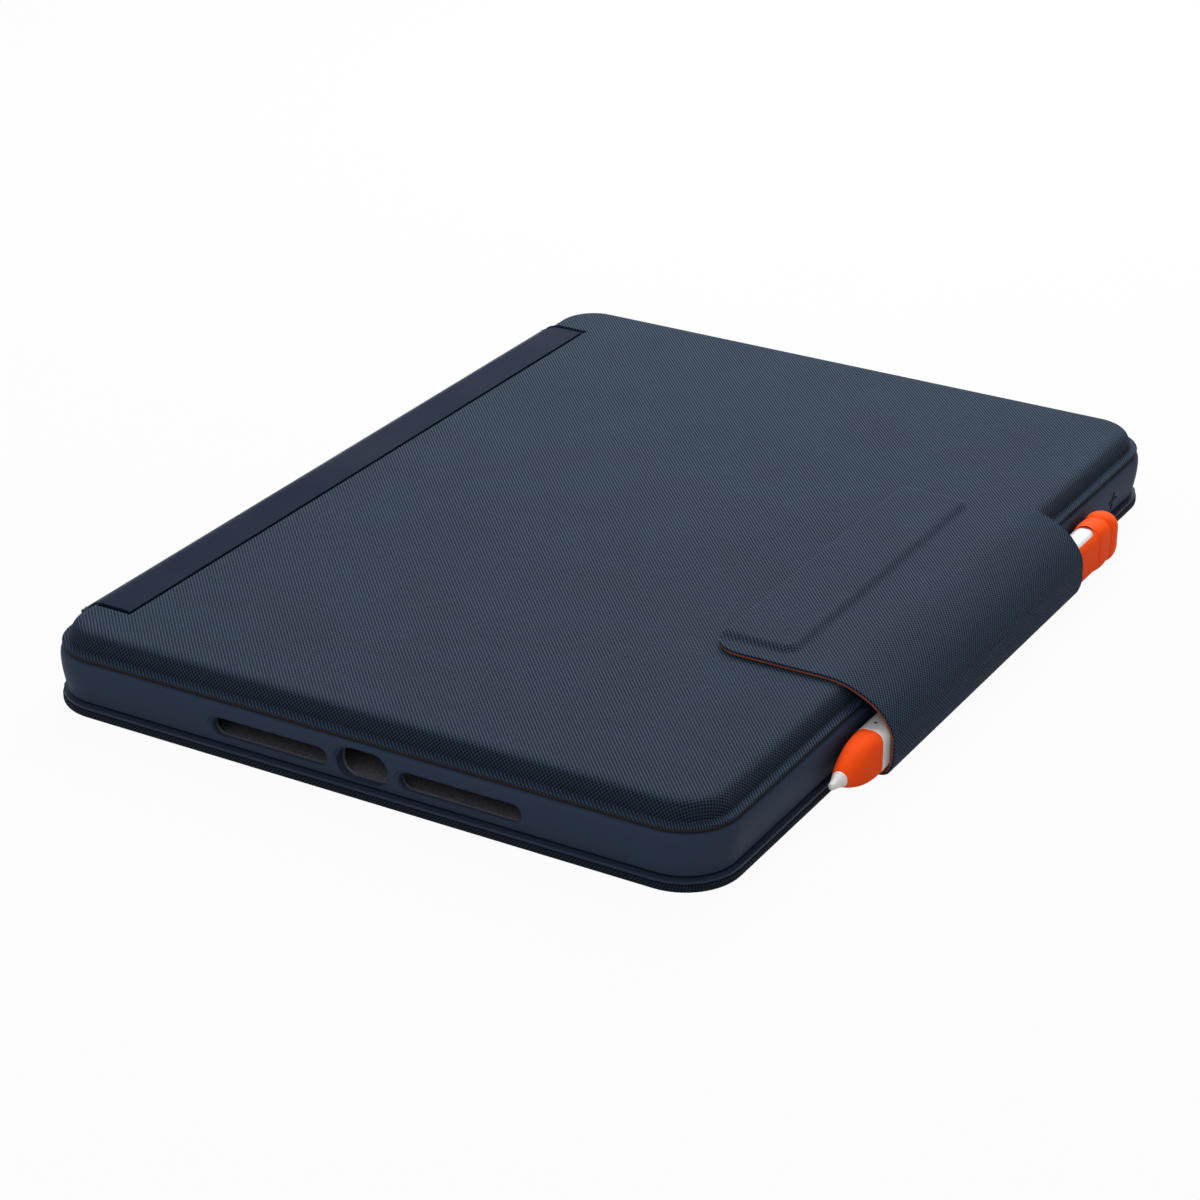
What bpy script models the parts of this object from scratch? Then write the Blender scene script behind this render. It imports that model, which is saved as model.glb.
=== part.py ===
"""Rugged tablet keyboard case, closed, with a stylus held in its latch flap.

Metres, +Z up.  The case lies on its back panel at z = 0 with its long edges along X.
The hinge band runs along the +Y long edge, the latch flap is on the -Y long edge, and the
charging port is in the -X short edge.  The origin is at the middle of the back panel.
"""

from math import cos, pi, radians, sin

import bmesh
import bpy
from mathutils import Matrix, Vector

# ---------------------------------------------------------------- driving dimensions
TABLET_LENGTH = 0.2506
TABLET_WIDTH = 0.1741
TABLET_THICKNESS = 0.0075
TABLET_CORNER = 0.0100
TABLET_FIT = 0.0003

GAP = 0.0003                  # air between two pieces that touch in real life
SMALL_ROUND = 0.0002          # broken edge of small metal pieces
CORNER_STEPS = 6              # facets in each quarter-round corner

BACK_THICKNESS = 0.0030       # back panel and kickstand leaf
BACK_OVERHANG = 0.00015       # the panel stands out this far past the tray's widest line
BACK_FABRIC = 0.0005
BACK_ROUND = 0.0008           # rounding of the back's lower edge
BACK_EDGE = 0.0007            # smooth rubbery sheet between the fabric panel and the tray
BACK_EDGE_SHRINK = 0.0002
STAND_FOLD = 0.0080           # the kickstand's fold line, along Y
STAND_SEAM = 0.0016           # from the fold line to the kickstand and to the panel
STAND_END_MARGIN = 0.0167     # from the kickstand's ends to the panel's short edges
STAND_EDGE_MARGIN = 0.0120    # from the kickstand's free edge to the panel's long edge
STAND_GAP = 0.0006            # slot round the kickstand
STAND_CORNER = 0.0080
NOTCH_LENGTH = 0.0240         # finger notch at the kickstand's free edge
NOTCH_REACH = 0.0030

TRAY_FLOOR = 0.0011
TRAY_END_WALL = 0.00395       # walls along the short edges
TRAY_SIDE_WALL = 0.00525      # walls along the long edges
TRAY_CORNER = 0.0145
SPINE_REACH = 0.00315         # the case reaches this much further on the hinge side
TRAY_HEIGHT = 0.01155
LIP_REACH = 0.0024            # the lip's overlap onto the tablet's face
LIP_ROUND = 0.0009
POCKET_ROUND = 0.0003
TRAY_FOOT_INSET = 0.0013      # the tray's side leans in this far at its foot
TRAY_FOOT_ROUND = 0.0009
TRAY_WIDEST = 0.76            # share of the tray's height at which it is widest

COVER_INSET = 0.00055         # the cover's rim lies this far inside the tray's widest line
COVER_CORNER = 0.0140
COVER_WALL = 0.0008
COVER_HEIGHT = 0.0055
FLANGE_WIDTH = 0.0020
FLANGE_THICKNESS = 0.0008
FLANGE_ROUND = 0.0003
RIM_ROLL = 0.0060             # from the rim to the flat top
RIM_EASE = 0.0014             # last part of the roll, almost flat
COVER_ROLL = ((1.0, 0.01), (0.62, 0.07), (0.34, 0.20), (0.15, 0.42), (0.05, 0.70))
LINING_THICKNESS = 0.00035
LINING_INSET = 0.0003

KEY_DECK_MARGIN = 0.0090      # from the cover's rim to the key skin
SKIN_CORNER = 0.0060
KEY_SKIN = 0.0008
KEY_HEIGHT = 0.0013
KEY_END_MARGIN = 0.0024       # from the skin's short edge to the first key
KEY_ROW_UNITS = 14            # every row of keys is this many pitches long
KEY_SPACE = 0.0026
KEY_ROW_PITCH = 0.0165
FUNCTION_ROW_DEPTH = 0.0100
KEY_TAPER = 0.0007
KEY_CHAMFER = 0.0020
KEY_FIELD_BACK = 0.0050       # from the skin's hinge edge to the first key row
DOME_SHEET = 0.00025
DOME_HEIGHT = 0.00055
DOME_RADIUS = 0.0026
CIRCUIT_SHEET = 0.0002
SHEET_INSET = 0.0010          # dome and circuit sheets are this much smaller than the skin
PLATE_OVERLAP = 0.0015        # the steel plate is this much bigger than the skin
KEYBOARD_PLATE = 0.0006
FOAM_MARGIN = 0.0020
BOARD_LENGTH = 0.0560
BOARD_WIDTH = 0.0120
BOARD_THICKNESS = 0.0008
CABLE_WIDTH = 0.0080
CABLE_THICKNESS = 0.0003
LATCH_PLATE_THICKNESS = 0.0006

STRIP_END_MARGIN = 0.0185     # from the cover's short edges to the band's ends
STRIP_SHIFT = -0.0025         # middle of the band along X
STRIP_THICKNESS = 0.0010
STRIP_DEPTH = 0.0174          # from the band's inner edge to the cover's rim
STRIP_STEPS = 12
LINK_HALF_THICKNESS = 0.0005
LINK_OFFSET = 0.0013          # from the tray's widest line to the link's middle
LINK_DROP = 0.0019            # from the tray's top down to the lower hinge line
LINK_HEIGHT = 0.0060          # between the link's two hinge lines
DOCK_BAR_THICKNESS = 0.0028
DOCK_BAR_ROUND = 0.0005
DOCK_MAGNET_LENGTH = 0.0300
DOCK_MAGNET_HEIGHT = 0.0060
DOCK_MAGNET_THICKNESS = 0.0012
DOCK_MAGNET_PLACE = 0.0450
CONTACT_BASE_LENGTH = 0.0280
CONTACT_NOSE_LENGTH = 0.0210
CONTACT_NOSE_HEIGHT = 0.0042
CONTACT_BASE_THICKNESS = 0.0012
PIN_COUNT = 3
PIN_PITCH = 0.0055
PIN_RADIUS = 0.0007
PIN_FIT = 0.0002
PIN_REACH = 0.0006            # how far a pin stands out of the contact block
PIN_TRAVEL = 0.0005

HINGE_END_MARGIN = 0.0250     # from the kickstand's ends to the middle of its hinges
HINGE_LENGTH = 0.0240
HINGE_BARREL_RADIUS = 0.00115
HINGE_PIN_RADIUS = 0.00055
HINGE_PIN_FIT = 0.00015
HINGE_LEAF_DEPTH = 0.0105
HINGE_LEAF_THICKNESS = 0.0007

PORT_WIDTH = 0.0143
PORT_HEIGHT = 0.0085
SPEAKER_LENGTH = 0.0330
SPEAKER_HEIGHT = 0.0046
SPEAKER_PLACE = 0.0267
JACK_RADIUS = 0.0035
JACK_MARGIN = 0.0130          # places below are measured from the tablet's edges
CAMERA_RADIUS = 0.0070
CAMERA_MARGIN = 0.0132
WINDOW_MARGIN = 0.0004        # air round the contact block's nose and each button pad

BUTTON_LENGTH = 0.0125
BUTTON_HEIGHT = 0.0060
BUTTON_PROUD = 0.0004
BUTTON_ROUND = 0.0006
VOLUME_UP_MARGIN = 0.0243
BUTTON_PITCH = 0.0150
POWER_MARGIN = 0.0210
BUTTON_TRAVEL = 0.0005
MARK_SIZE = 0.0036
MARK_WIDTH = 0.0008
MARK_RISE = 0.0002             # the cap slides past the marks, so they stay low

FLAP_WIDTH = 0.1110
FLAP_SHIFT = -0.0015          # middle of the flap along X
FLAP_LAP = 0.04005             # how far the flap's tip lies in from the cover's edge
FLAP_FABRIC = 0.00045
FLAP_LINING = 0.00035
FLAP_CORNER = 0.0080
FLAP_HINGE_HEIGHT = 0.0020    # the flap's wall folds outward from this height
FLAP_FOLD_REACH = 0.0010      # the tip folds this far outside the cover's edge
FLAP_FOOT_STEPS = 12
FLAP_WALL_STEPS = 14
FLAP_TIP_STEPS = 14
PLATE_LENGTH = 0.1020         # raised magnet plate in the flap
PLATE_DEPTH = 0.0185
PLATE_EDGE = 0.0025           # from the flap's tip to the raised plate
PLATE_RISE = 0.0007
PLATE_SLOPE = 0.0016
PLATE_CORNER = 0.0030
CARRIER_THICKNESS = 0.0005
FLAP_MAGNET_COUNT = 3
FLAP_MAGNET_LENGTH = 0.0200
FLAP_MAGNET_DEPTH = 0.0090
FLAP_MAGNET_PITCH = 0.0290

STYLUS_WIDTH = 0.0120
STYLUS_THICKNESS = 0.0075
STYLUS_CORNER = 0.0030
STYLUS_LENGTH = 0.1650
STYLUS_NIB_END = -0.0805
STYLUS_TRAY_GAP = 0.0010
STYLUS_HEIGHT = 0.0075        # middle of the stylus above the table
NIB_LENGTH = 0.0050
NIB_RADIUS = 0.0026
NIB_TIP_RADIUS = 0.0011
NIB_STEM_LENGTH = 0.0040
NIB_STEM_RADIUS = 0.0012
GRIP_LENGTH = 0.0150
CAP_LENGTH = 0.0078
CAP_PROUD = 0.0005            # how far the cap stands out of the barrel
NECK_INSET = 0.0008           # the barrel's end is this much smaller inside the cap
CAP_DEPTH = 0.0040            # how far the cap goes over the barrel's end
STRAP_RING_LENGTH = 0.0070
STRAP_TONGUE_LENGTH = 0.0110
STRAP_PROUD = 0.0002          # how far the strap stands out of the barrel
STRAP_SEAT = 0.0007           # depth of the groove that the strap lies in
STRAP_HOLD = 0.0009           # each tongue wraps this far round the barrel's wide face
CHARGE_SLOT_LENGTH = 0.0066
CHARGE_SLOT_HEIGHT = 0.0019
CHARGE_SLOT_DEPTH = 0.0060
STYLUS_BUTTON_LENGTH = 0.0070
STYLUS_BUTTON_WIDTH = 0.0028
STYLUS_BUTTON_X = 0.0400
STYLUS_BUTTON_DEPTH = 0.0012
STYLUS_BUTTON_PROUD = 0.0002

# ---------------------------------------------------------------- worked-out sizes
TRAY_HALF_X = TABLET_LENGTH / 2 + TABLET_FIT + TRAY_END_WALL
TRAY_HALF_Y = TABLET_WIDTH / 2 + TABLET_FIT + TRAY_SIDE_WALL
TRAY_BOTTOM = BACK_THICKNESS + GAP
FLOOR_TOP = TRAY_BOTTOM + TRAY_FLOOR
TRAY_TOP = TRAY_BOTTOM + TRAY_HEIGHT
TABLET_TOP = FLOOR_TOP + TABLET_THICKNESS + TABLET_FIT
TABLET_MIDDLE = FLOOR_TOP + TABLET_THICKNESS / 2

BACK_HALF_X = TRAY_HALF_X + BACK_OVERHANG
BACK_HALF_Y = TRAY_HALF_Y + BACK_OVERHANG
BACK_CORNER = TRAY_CORNER + BACK_OVERHANG
BACK_HIGH_Y = BACK_HALF_Y + SPINE_REACH

JACK_PLACE = TABLET_WIDTH / 2 - JACK_MARGIN
CAMERA_X = TABLET_LENGTH / 2 - CAMERA_MARGIN
CAMERA_Y = CAMERA_MARGIN - TABLET_WIDTH / 2
VOLUME_UP_X = TABLET_LENGTH / 2 - VOLUME_UP_MARGIN
POWER_Y = POWER_MARGIN - TABLET_WIDTH / 2
STAND_HALF_LENGTH = BACK_HALF_X - STAND_END_MARGIN
HINGE_PLACE = STAND_HALF_LENGTH - HINGE_END_MARGIN

COVER_HALF_X = TRAY_HALF_X - COVER_INSET
COVER_HALF_Y = TRAY_HALF_Y - COVER_INSET
LINING_BOTTOM = TRAY_TOP + GAP
LINING_TOP = LINING_BOTTOM + LINING_THICKNESS
COVER_BOTTOM = LINING_TOP + GAP
COVER_TOP = COVER_BOTTOM + COVER_HEIGHT

SKIN_HALF_X = COVER_HALF_X - KEY_DECK_MARGIN
SKIN_HALF_Y = COVER_HALF_Y - KEY_DECK_MARGIN
SKIN_BOTTOM = LINING_BOTTOM
SKIN_TOP = SKIN_BOTTOM + KEY_SKIN
KEY_PITCH = 2 * (SKIN_HALF_X - KEY_END_MARGIN) / KEY_ROW_UNITS
DOME_TOP = SKIN_TOP + GAP + DOME_HEIGHT + DOME_SHEET
CIRCUIT_BOTTOM = DOME_TOP + GAP
PLATE_BOTTOM = CIRCUIT_BOTTOM + CIRCUIT_SHEET + GAP
FOAM_BOTTOM = PLATE_BOTTOM + KEYBOARD_PLATE + GAP
FOAM_TOP = COVER_TOP - COVER_WALL - GAP
FOAM_HALF_X = COVER_HALF_X - RIM_ROLL - FOAM_MARGIN
FOAM_HALF_Y = COVER_HALF_Y - RIM_ROLL - FOAM_MARGIN

STRIP_LENGTH = 2 * (COVER_HALF_X - STRIP_END_MARGIN)
COVER_HIGH_Y = COVER_HALF_Y + SPINE_REACH
COVER_ROLL_DEPTH = RIM_ROLL - FLANGE_WIDTH
COVER_ROLL_RISE = COVER_HEIGHT - FLANGE_THICKNESS
STRIP_INNER_EDGE = COVER_HIGH_Y - STRIP_DEPTH
STRIP_BOTTOM = COVER_TOP + GAP
LINK_Y = TRAY_HALF_Y + LINK_OFFSET
LINK_INNER = LINK_Y - LINK_HALF_THICKNESS - GAP
DOCK_BAR_INNER = TRAY_HALF_Y + GAP
DOCK_BAR_BOTTOM = TRAY_BOTTOM + GAP
SPINE_AXIS_Z = TRAY_TOP - LINK_DROP
DOCK_BAR_TOP = SPINE_AXIS_Z - LINK_HALF_THICKNESS - GAP
COVER_AXIS_Z = SPINE_AXIS_Z + LINK_HEIGHT
CONTACT_Z = TABLET_MIDDLE

STYLUS_Y = -(TRAY_HALF_Y + STYLUS_TRAY_GAP + STYLUS_THICKNESS / 2)
STYLUS_CAP_END = STYLUS_NIB_END + STYLUS_LENGTH
BARREL_START = STYLUS_NIB_END + NIB_LENGTH + GRIP_LENGTH + GAP
CAP_START = STYLUS_CAP_END - CAP_LENGTH
BARREL_END = CAP_START + CAP_DEPTH
FLAP_THICKNESS = FLAP_FABRIC + GAP + FLAP_LINING
FLAP_TOP = COVER_TOP + GAP + FLAP_THICKNESS
FLAP_TIP_Y = FLAP_LAP - COVER_HALF_Y
FLAP_ROOT_Y = -(BACK_HALF_Y + GAP / 2)
PLATE_Y = FLAP_TIP_Y - PLATE_EDGE - PLATE_DEPTH / 2


# ---------------------------------------------------------------- materials
def make_material(name, colour, roughness, metallic=0.0):
    material = bpy.data.materials.new(name)
    material.use_nodes = True
    shader = material.node_tree.nodes["Principled BSDF"]
    shader.inputs["Base Color"].default_value = (*colour, 1.0)
    shader.inputs["Roughness"].default_value = roughness
    shader.inputs["Metallic"].default_value = metallic
    material.diffuse_color = (*colour, 1.0)
    return material


def make_materials():
    return {
        "navy_fabric": make_material("navy_fabric", (0.040, 0.060, 0.090), 0.85),
        "navy_rubber": make_material("navy_rubber", (0.022, 0.034, 0.058), 0.60),
        "copper_lining": make_material("copper_lining", (0.160, 0.055, 0.030), 0.80),
        "dark_board": make_material("dark_board", (0.030, 0.030, 0.032), 0.70),
        "foam": make_material("foam", (0.060, 0.060, 0.065), 0.95),
        "steel": make_material("steel", (0.560, 0.570, 0.580), 0.35, 1.0),
        "magnet": make_material("magnet", (0.620, 0.620, 0.640), 0.25, 1.0),
        "gold_contact": make_material("gold_contact", (0.900, 0.620, 0.230), 0.25, 1.0),
        "clear_film": make_material("clear_film", (0.350, 0.370, 0.390), 0.40),
        "dome_rubber": make_material("dome_rubber", (0.400, 0.410, 0.420), 0.60),
        "circuit_green": make_material("circuit_green", (0.020, 0.140, 0.060), 0.45),
        "amber_cable": make_material("amber_cable", (0.430, 0.170, 0.030), 0.40),
        "black_plastic": make_material("black_plastic", (0.015, 0.015, 0.017), 0.45),
        "silver_barrel": make_material("silver_barrel", (0.700, 0.710, 0.720), 0.35, 1.0),
        "orange_rubber": make_material("orange_rubber", (0.800, 0.080, 0.016), 0.50),
        "white_nib": make_material("white_nib", (0.700, 0.690, 0.680), 0.45),
    }


# ---------------------------------------------------------------- modelling helpers
def add_to(collection, item):
    for old in list(item.users_collection):
        old.objects.unlink(item)
    collection.objects.link(item)
    return item


def new_object(name, mesh, material):
    mesh.materials.clear()
    mesh.materials.append(material)
    item = bpy.data.objects.new(name, mesh)
    return add_to(PARTS, item)


def rounded_ring(half_x, half_y, corner, height):
    """Points of a rounded rectangle, anticlockwise, at one height."""
    ring = []
    for side_x, side_y, start in ((1, 1, 0.0), (-1, 1, 0.5), (-1, -1, 1.0), (1, -1, 1.5)):
        for step in range(CORNER_STEPS + 1):
            angle = pi * (start + 0.5 * step / CORNER_STEPS)
            x = side_x * (half_x - corner) + corner * cos(angle)
            y = side_y * (half_y - corner) + corner * sin(angle)
            ring.append(Vector((x, y, height)))
    return ring


def case_ring(half_x, half_y, corner, height):
    """A rounded rectangle that reaches further on the hinge side, as the whole case does."""
    shift = Vector((0, SPINE_REACH / 2, 0))
    return [point + shift for point in rounded_ring(half_x, half_y + SPINE_REACH / 2, corner,
                                                    height)]


def loft(name, rings, material):
    """A closed body through rings of equally many points, capped at both ends."""
    mesh = bpy.data.meshes.new(name)
    shape = bmesh.new()
    rows = [[shape.verts.new(point) for point in ring] for ring in rings]
    count = len(rows[0])
    for low, high in zip(rows, rows[1:]):
        for i in range(count):
            j = (i + 1) % count
            shape.faces.new((low[i], low[j], high[j], high[i]))
    shape.faces.new(rows[0])
    shape.faces.new(rows[-1])
    bmesh.ops.recalc_face_normals(shape, faces=shape.faces)
    shape.to_mesh(mesh)
    shape.free()
    return new_object(name, mesh, material)


def flat_plate(name, outlines, low, high, material):
    """A plate between two heights; outlines after the first are holes in it."""
    curve = bpy.data.curves.new(name, "CURVE")
    curve.dimensions = "2D"
    curve.fill_mode = "BOTH"
    curve.extrude = (high - low) / 2
    for outline in outlines:
        spline = curve.splines.new("POLY")
        spline.points.add(len(outline) - 1)
        for point, place in zip(spline.points, outline):
            point.co = (place[0], place[1], 0.0, 1.0)
        spline.use_cyclic_u = True
    holder = bpy.data.objects.new(name + "_outline", curve)
    holder.location.z = (low + high) / 2
    add_to(PARTS, holder)
    graph = bpy.context.evaluated_depsgraph_get()
    mesh = bpy.data.meshes.new_from_object(holder.evaluated_get(graph))
    shape = bmesh.new()
    shape.from_mesh(mesh)
    bmesh.ops.remove_doubles(shape, verts=shape.verts, dist=0.000001)
    bmesh.ops.recalc_face_normals(shape, faces=shape.faces)
    shape.to_mesh(mesh)
    shape.free()
    plate = new_object(name, mesh, material)
    plate.matrix_world = holder.matrix_world
    bpy.data.objects.remove(holder)
    return plate


def block(name, size, place, material):
    """A box of a given size, centred on a place."""
    mesh = bpy.data.meshes.new(name)
    shape = bmesh.new()
    bmesh.ops.create_cube(shape, size=1.0)
    bmesh.ops.scale(shape, vec=size, verts=shape.verts)
    shape.to_mesh(mesh)
    shape.free()
    item = new_object(name, mesh, material)
    item.location = place
    return item


def rod(name, radius, length, place, axis, material, segments=16):
    """A cylinder of a given length, centred on a place, along X, Y or Z."""
    mesh = bpy.data.meshes.new(name)
    shape = bmesh.new()
    bmesh.ops.create_cone(shape, cap_ends=True, segments=segments, radius1=radius,
                          radius2=radius, depth=length)
    shape.to_mesh(mesh)
    shape.free()
    item = new_object(name, mesh, material)
    item.rotation_euler = {"X": (0, pi / 2, 0), "Y": (pi / 2, 0, 0), "Z": (0, 0, 0)}[axis]
    item.location = place
    return item


def as_cutter(item):
    add_to(CUTTERS, item)
    item.hide_render = True
    item.display_type = "WIRE"
    return item


def boolean(target, tool, operation):
    modifier = target.modifiers.new(operation.lower(), "BOOLEAN")
    modifier.operation = operation
    modifier.object = as_cutter(tool)
    modifier.solver = "EXACT"
    return target


def cut(target, tool):
    return boolean(target, tool, "DIFFERENCE")


def join(target, tool):
    return boolean(target, tool, "UNION")


def bevel(item, width, segments=2, angle=40.0):
    modifier = item.modifiers.new("rounded_edges", "BEVEL")
    modifier.width = width
    modifier.segments = segments
    modifier.limit_method = "ANGLE"
    modifier.angle_limit = radians(angle)
    return item


def smooth(item, angle=35.0):
    item.data.shade_smooth()
    item.data.set_sharp_from_angle(angle=radians(angle))
    return item


def pivot(name, place, parent=None):
    """An empty on a joint's axis, which carries the pieces that move with it."""
    empty = bpy.data.objects.new(name, None)
    empty.empty_display_size = 0.01
    PARTS.objects.link(empty)
    if parent:
        empty.parent = parent
        empty.location = Vector(place) - parent_place(parent)
    else:
        empty.location = place
    return empty


def parent_place(item):
    place = Vector((0, 0, 0))
    while item:
        place += item.location
        item = item.parent
    return place


def carry(empty, *items):
    """Parent pieces to an empty without moving them."""
    for item in items:
        item.parent = empty
        item.matrix_parent_inverse = Matrix.Translation(-parent_place(empty))


def smooth_path(points, steps):
    """A Catmull-Rom curve through (y, z) points."""
    path = []
    for i in range(len(points) - 1):
        before = Vector(points[max(i - 1, 0)])
        start = Vector(points[i])
        end = Vector(points[i + 1])
        after = Vector(points[min(i + 2, len(points) - 1)])
        for step in range(steps):
            t = step / steps
            path.append(0.5 * (2 * start + (end - before) * t
                               + (2 * before - 5 * start + 4 * end - after) * t ** 2
                               + (3 * start - before - 3 * end + after) * t ** 3))
    path.append(Vector(points[-1]))
    return path


def path_length(path):
    return sum((b - a).length for a, b in zip(path, path[1:]))


def place_along(path, distance):
    for a, b in zip(path, path[1:]):
        step = (b - a).length
        if distance <= step:
            return a.lerp(b, max(distance, 0.0) / step)
        distance -= step
    return path[-1].copy()


def beside_path(path, start, end, steps, offset):
    """Evenly spaced points along a (y, z) path, moved to its right-hand side."""
    line = []
    for i in range(steps + 1):
        distance = start + (end - start) * i / steps
        ahead = place_along(path, distance + GAP)
        behind = place_along(path, max(distance - GAP, 0.0))
        along = (ahead - behind).normalized()
        line.append(place_along(path, distance) + offset * Vector((along.y, -along.x)))
    return line


def sheet_along_x(name, path, low_x, high_x, columns, thickness, material):
    """A sheet swept along X over a (y, z) path, thickened to the path's right-hand side."""
    mesh = bpy.data.meshes.new(name)
    shape = bmesh.new()
    rows = []
    for point in path:
        row = []
        for column in range(columns + 1):
            x = low_x + (high_x - low_x) * column / columns
            row.append(shape.verts.new((x, point[0], point[1])))
        rows.append(row)
    for low, high in zip(rows, rows[1:]):
        for i in range(columns):
            shape.faces.new((low[i], low[i + 1], high[i + 1], high[i]))
    shape.to_mesh(mesh)
    shape.free()
    item = new_object(name, mesh, material)
    wall = item.modifiers.new("wall", "SOLIDIFY")
    wall.thickness = thickness
    wall.offset = -1.0
    wall.use_even_offset = True
    return item


# ---------------------------------------------------------------- tray
def tray_ring(inset, height):
    return case_ring(TRAY_HALF_X - inset, TRAY_HALF_Y - inset, TRAY_CORNER - inset, height)


def pocket_ring(grow, height):
    half_x = TABLET_LENGTH / 2 + TABLET_FIT + grow
    half_y = TABLET_WIDTH / 2 + TABLET_FIT + grow
    return rounded_ring(half_x, half_y, TABLET_CORNER + grow, height)


def tray_side(share):
    """Inset of the tray's convex outer side at a share of its height."""
    if share > TRAY_WIDEST:
        return 0.25 * TRAY_FOOT_INSET * ((share - TRAY_WIDEST) / (1 - TRAY_WIDEST)) ** 2
    return TRAY_FOOT_INSET * ((TRAY_WIDEST - share) / TRAY_WIDEST) ** 1.6


def make_tray(materials):
    rings = [tray_ring(tray_side(0.0) + TRAY_FOOT_ROUND, TRAY_BOTTOM)]
    for share in (0.03, 0.12, 0.26, 0.42, 0.58, TRAY_WIDEST, 0.88, 0.95):
        rings.append(tray_ring(tray_side(share), TRAY_BOTTOM + share * TRAY_HEIGHT))
    rings.append(tray_ring(tray_side(1.0) + 0.3 * LIP_ROUND, TRAY_TOP - 0.3 * LIP_ROUND))
    rings.append(tray_ring(tray_side(1.0) + LIP_ROUND, TRAY_TOP))
    rings.append(pocket_ring(LIP_ROUND - LIP_REACH, TRAY_TOP))
    rings.append(pocket_ring(-LIP_REACH, TRAY_TOP - LIP_ROUND))
    rings.append(pocket_ring(-LIP_REACH, TABLET_TOP + LIP_ROUND))
    rings.append(pocket_ring(0.3 * LIP_ROUND - LIP_REACH, TABLET_TOP))
    rings.append(pocket_ring(0.0, TABLET_TOP))
    rings.append(pocket_ring(0.0, FLOOR_TOP + POCKET_ROUND))
    rings.append(pocket_ring(-POCKET_ROUND, FLOOR_TOP))
    tray = loft("tablet_tray", rings, materials["navy_rubber"])
    cut(tray, band_recess("dock_recess", TRAY_HALF_Y, materials))

    wall_x = TRAY_HALF_X - TRAY_END_WALL / 2
    cutter_depth = TRAY_END_WALL + 2 * GAP
    port = end_slot("port_cutter", PORT_WIDTH, PORT_HEIGHT, cutter_depth, materials)
    port.location = (-wall_x, 0, TABLET_MIDDLE + TRAY_FLOOR / 2)
    cut(tray, port)
    for side in (-1, 1):
        slot = end_slot("speaker_cutter", SPEAKER_LENGTH, SPEAKER_HEIGHT, cutter_depth, materials)
        slot.location = (-wall_x, side * SPEAKER_PLACE, TABLET_MIDDLE)
        cut(tray, slot)
    cut(tray, rod("jack_cutter", JACK_RADIUS, cutter_depth,
                  (wall_x, JACK_PLACE, TABLET_MIDDLE), "X", materials["navy_rubber"]))
    cut(tray, rod("camera_cutter", CAMERA_RADIUS, 4 * TRAY_FLOOR,
                  (CAMERA_X, CAMERA_Y, FLOOR_TOP), "Z", materials["navy_rubber"], 24))

    side_y = TRAY_HALF_Y - TRAY_SIDE_WALL / 2
    side_depth = TRAY_SIDE_WALL + 2 * GAP
    for x in (VOLUME_UP_X, VOLUME_UP_X - BUTTON_PITCH):
        cut(tray, block("volume_window",
                        (BUTTON_LENGTH + 2 * GAP, side_depth, BUTTON_HEIGHT + 2 * GAP),
                        (x, -side_y, TABLET_MIDDLE), materials["navy_rubber"]))
    cut(tray, block("power_window",
                    (cutter_depth, BUTTON_LENGTH + 2 * GAP, BUTTON_HEIGHT + 2 * GAP),
                    (wall_x, POWER_Y, TABLET_MIDDLE), materials["navy_rubber"]))
    cut(tray, block("contact_window",
                    (CONTACT_NOSE_LENGTH + 2 * WINDOW_MARGIN, side_depth,
                     CONTACT_NOSE_HEIGHT + 2 * WINDOW_MARGIN),
                    (0, side_y, CONTACT_Z), materials["navy_rubber"]))
    return smooth(tray)


def band_recess(name, inner_y, materials):
    """The long notch in the hinge side that the band lies in, from one Y outwards."""
    depth = 2 * SPINE_REACH
    return block(name, (STRIP_LENGTH + 2 * GAP, depth, 4 * COVER_TOP),
                 (STRIP_SHIFT, inner_y + depth / 2, 0), materials["navy_rubber"])


def end_slot(name, length, height, depth, materials):
    """A round-ended slot that runs through a short edge's wall."""
    outline = rounded_ring(height / 2, length / 2, height / 2 - 0.00001, 0)
    slot = flat_plate(name, [outline], -depth / 2, depth / 2, materials["navy_rubber"])
    slot.rotation_euler = (0, pi / 2, 0)
    return slot


def make_button(name, plus, materials):
    """A rubbery pad in the long wall, with a raised plus or minus mark on its face."""
    depth = TRAY_SIDE_WALL - tray_side(0.5) + BUTTON_PROUD - BUTTON_TRAVEL
    face_y = -(TRAY_HALF_Y - tray_side(0.5) + BUTTON_PROUD)
    x = VOLUME_UP_X if plus else VOLUME_UP_X - BUTTON_PITCH
    middle = (x, face_y + depth / 2, TABLET_MIDDLE)
    pad = block(name, (BUTTON_LENGTH, depth, BUTTON_HEIGHT), middle, materials["navy_rubber"])
    bevel(pad, BUTTON_ROUND)
    mark_depth = 2 * MARK_RISE
    mark_place = (x, face_y, TABLET_MIDDLE)
    join(pad, block(name + "_bar", (MARK_SIZE, mark_depth, MARK_WIDTH), mark_place,
                    materials["navy_rubber"]))
    if plus:
        join(pad, block(name + "_post", (MARK_WIDTH, 0.9 * mark_depth, MARK_SIZE), mark_place,
                        materials["navy_rubber"]))
    carry(pivot(name + "_axis", (x, face_y, TABLET_MIDDLE)), pad)
    return pad


def make_power_button(materials):
    depth = TRAY_END_WALL - tray_side(0.5) + BUTTON_PROUD - BUTTON_TRAVEL
    face_x = TRAY_HALF_X - tray_side(0.5) + BUTTON_PROUD
    pad = block("power_button", (depth, BUTTON_LENGTH, BUTTON_HEIGHT),
                (face_x - depth / 2, POWER_Y, TABLET_MIDDLE), materials["navy_rubber"])
    bevel(pad, BUTTON_ROUND)
    carry(pivot("power_button_axis", (face_x, POWER_Y, TABLET_MIDDLE)), pad)
    return pad


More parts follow.
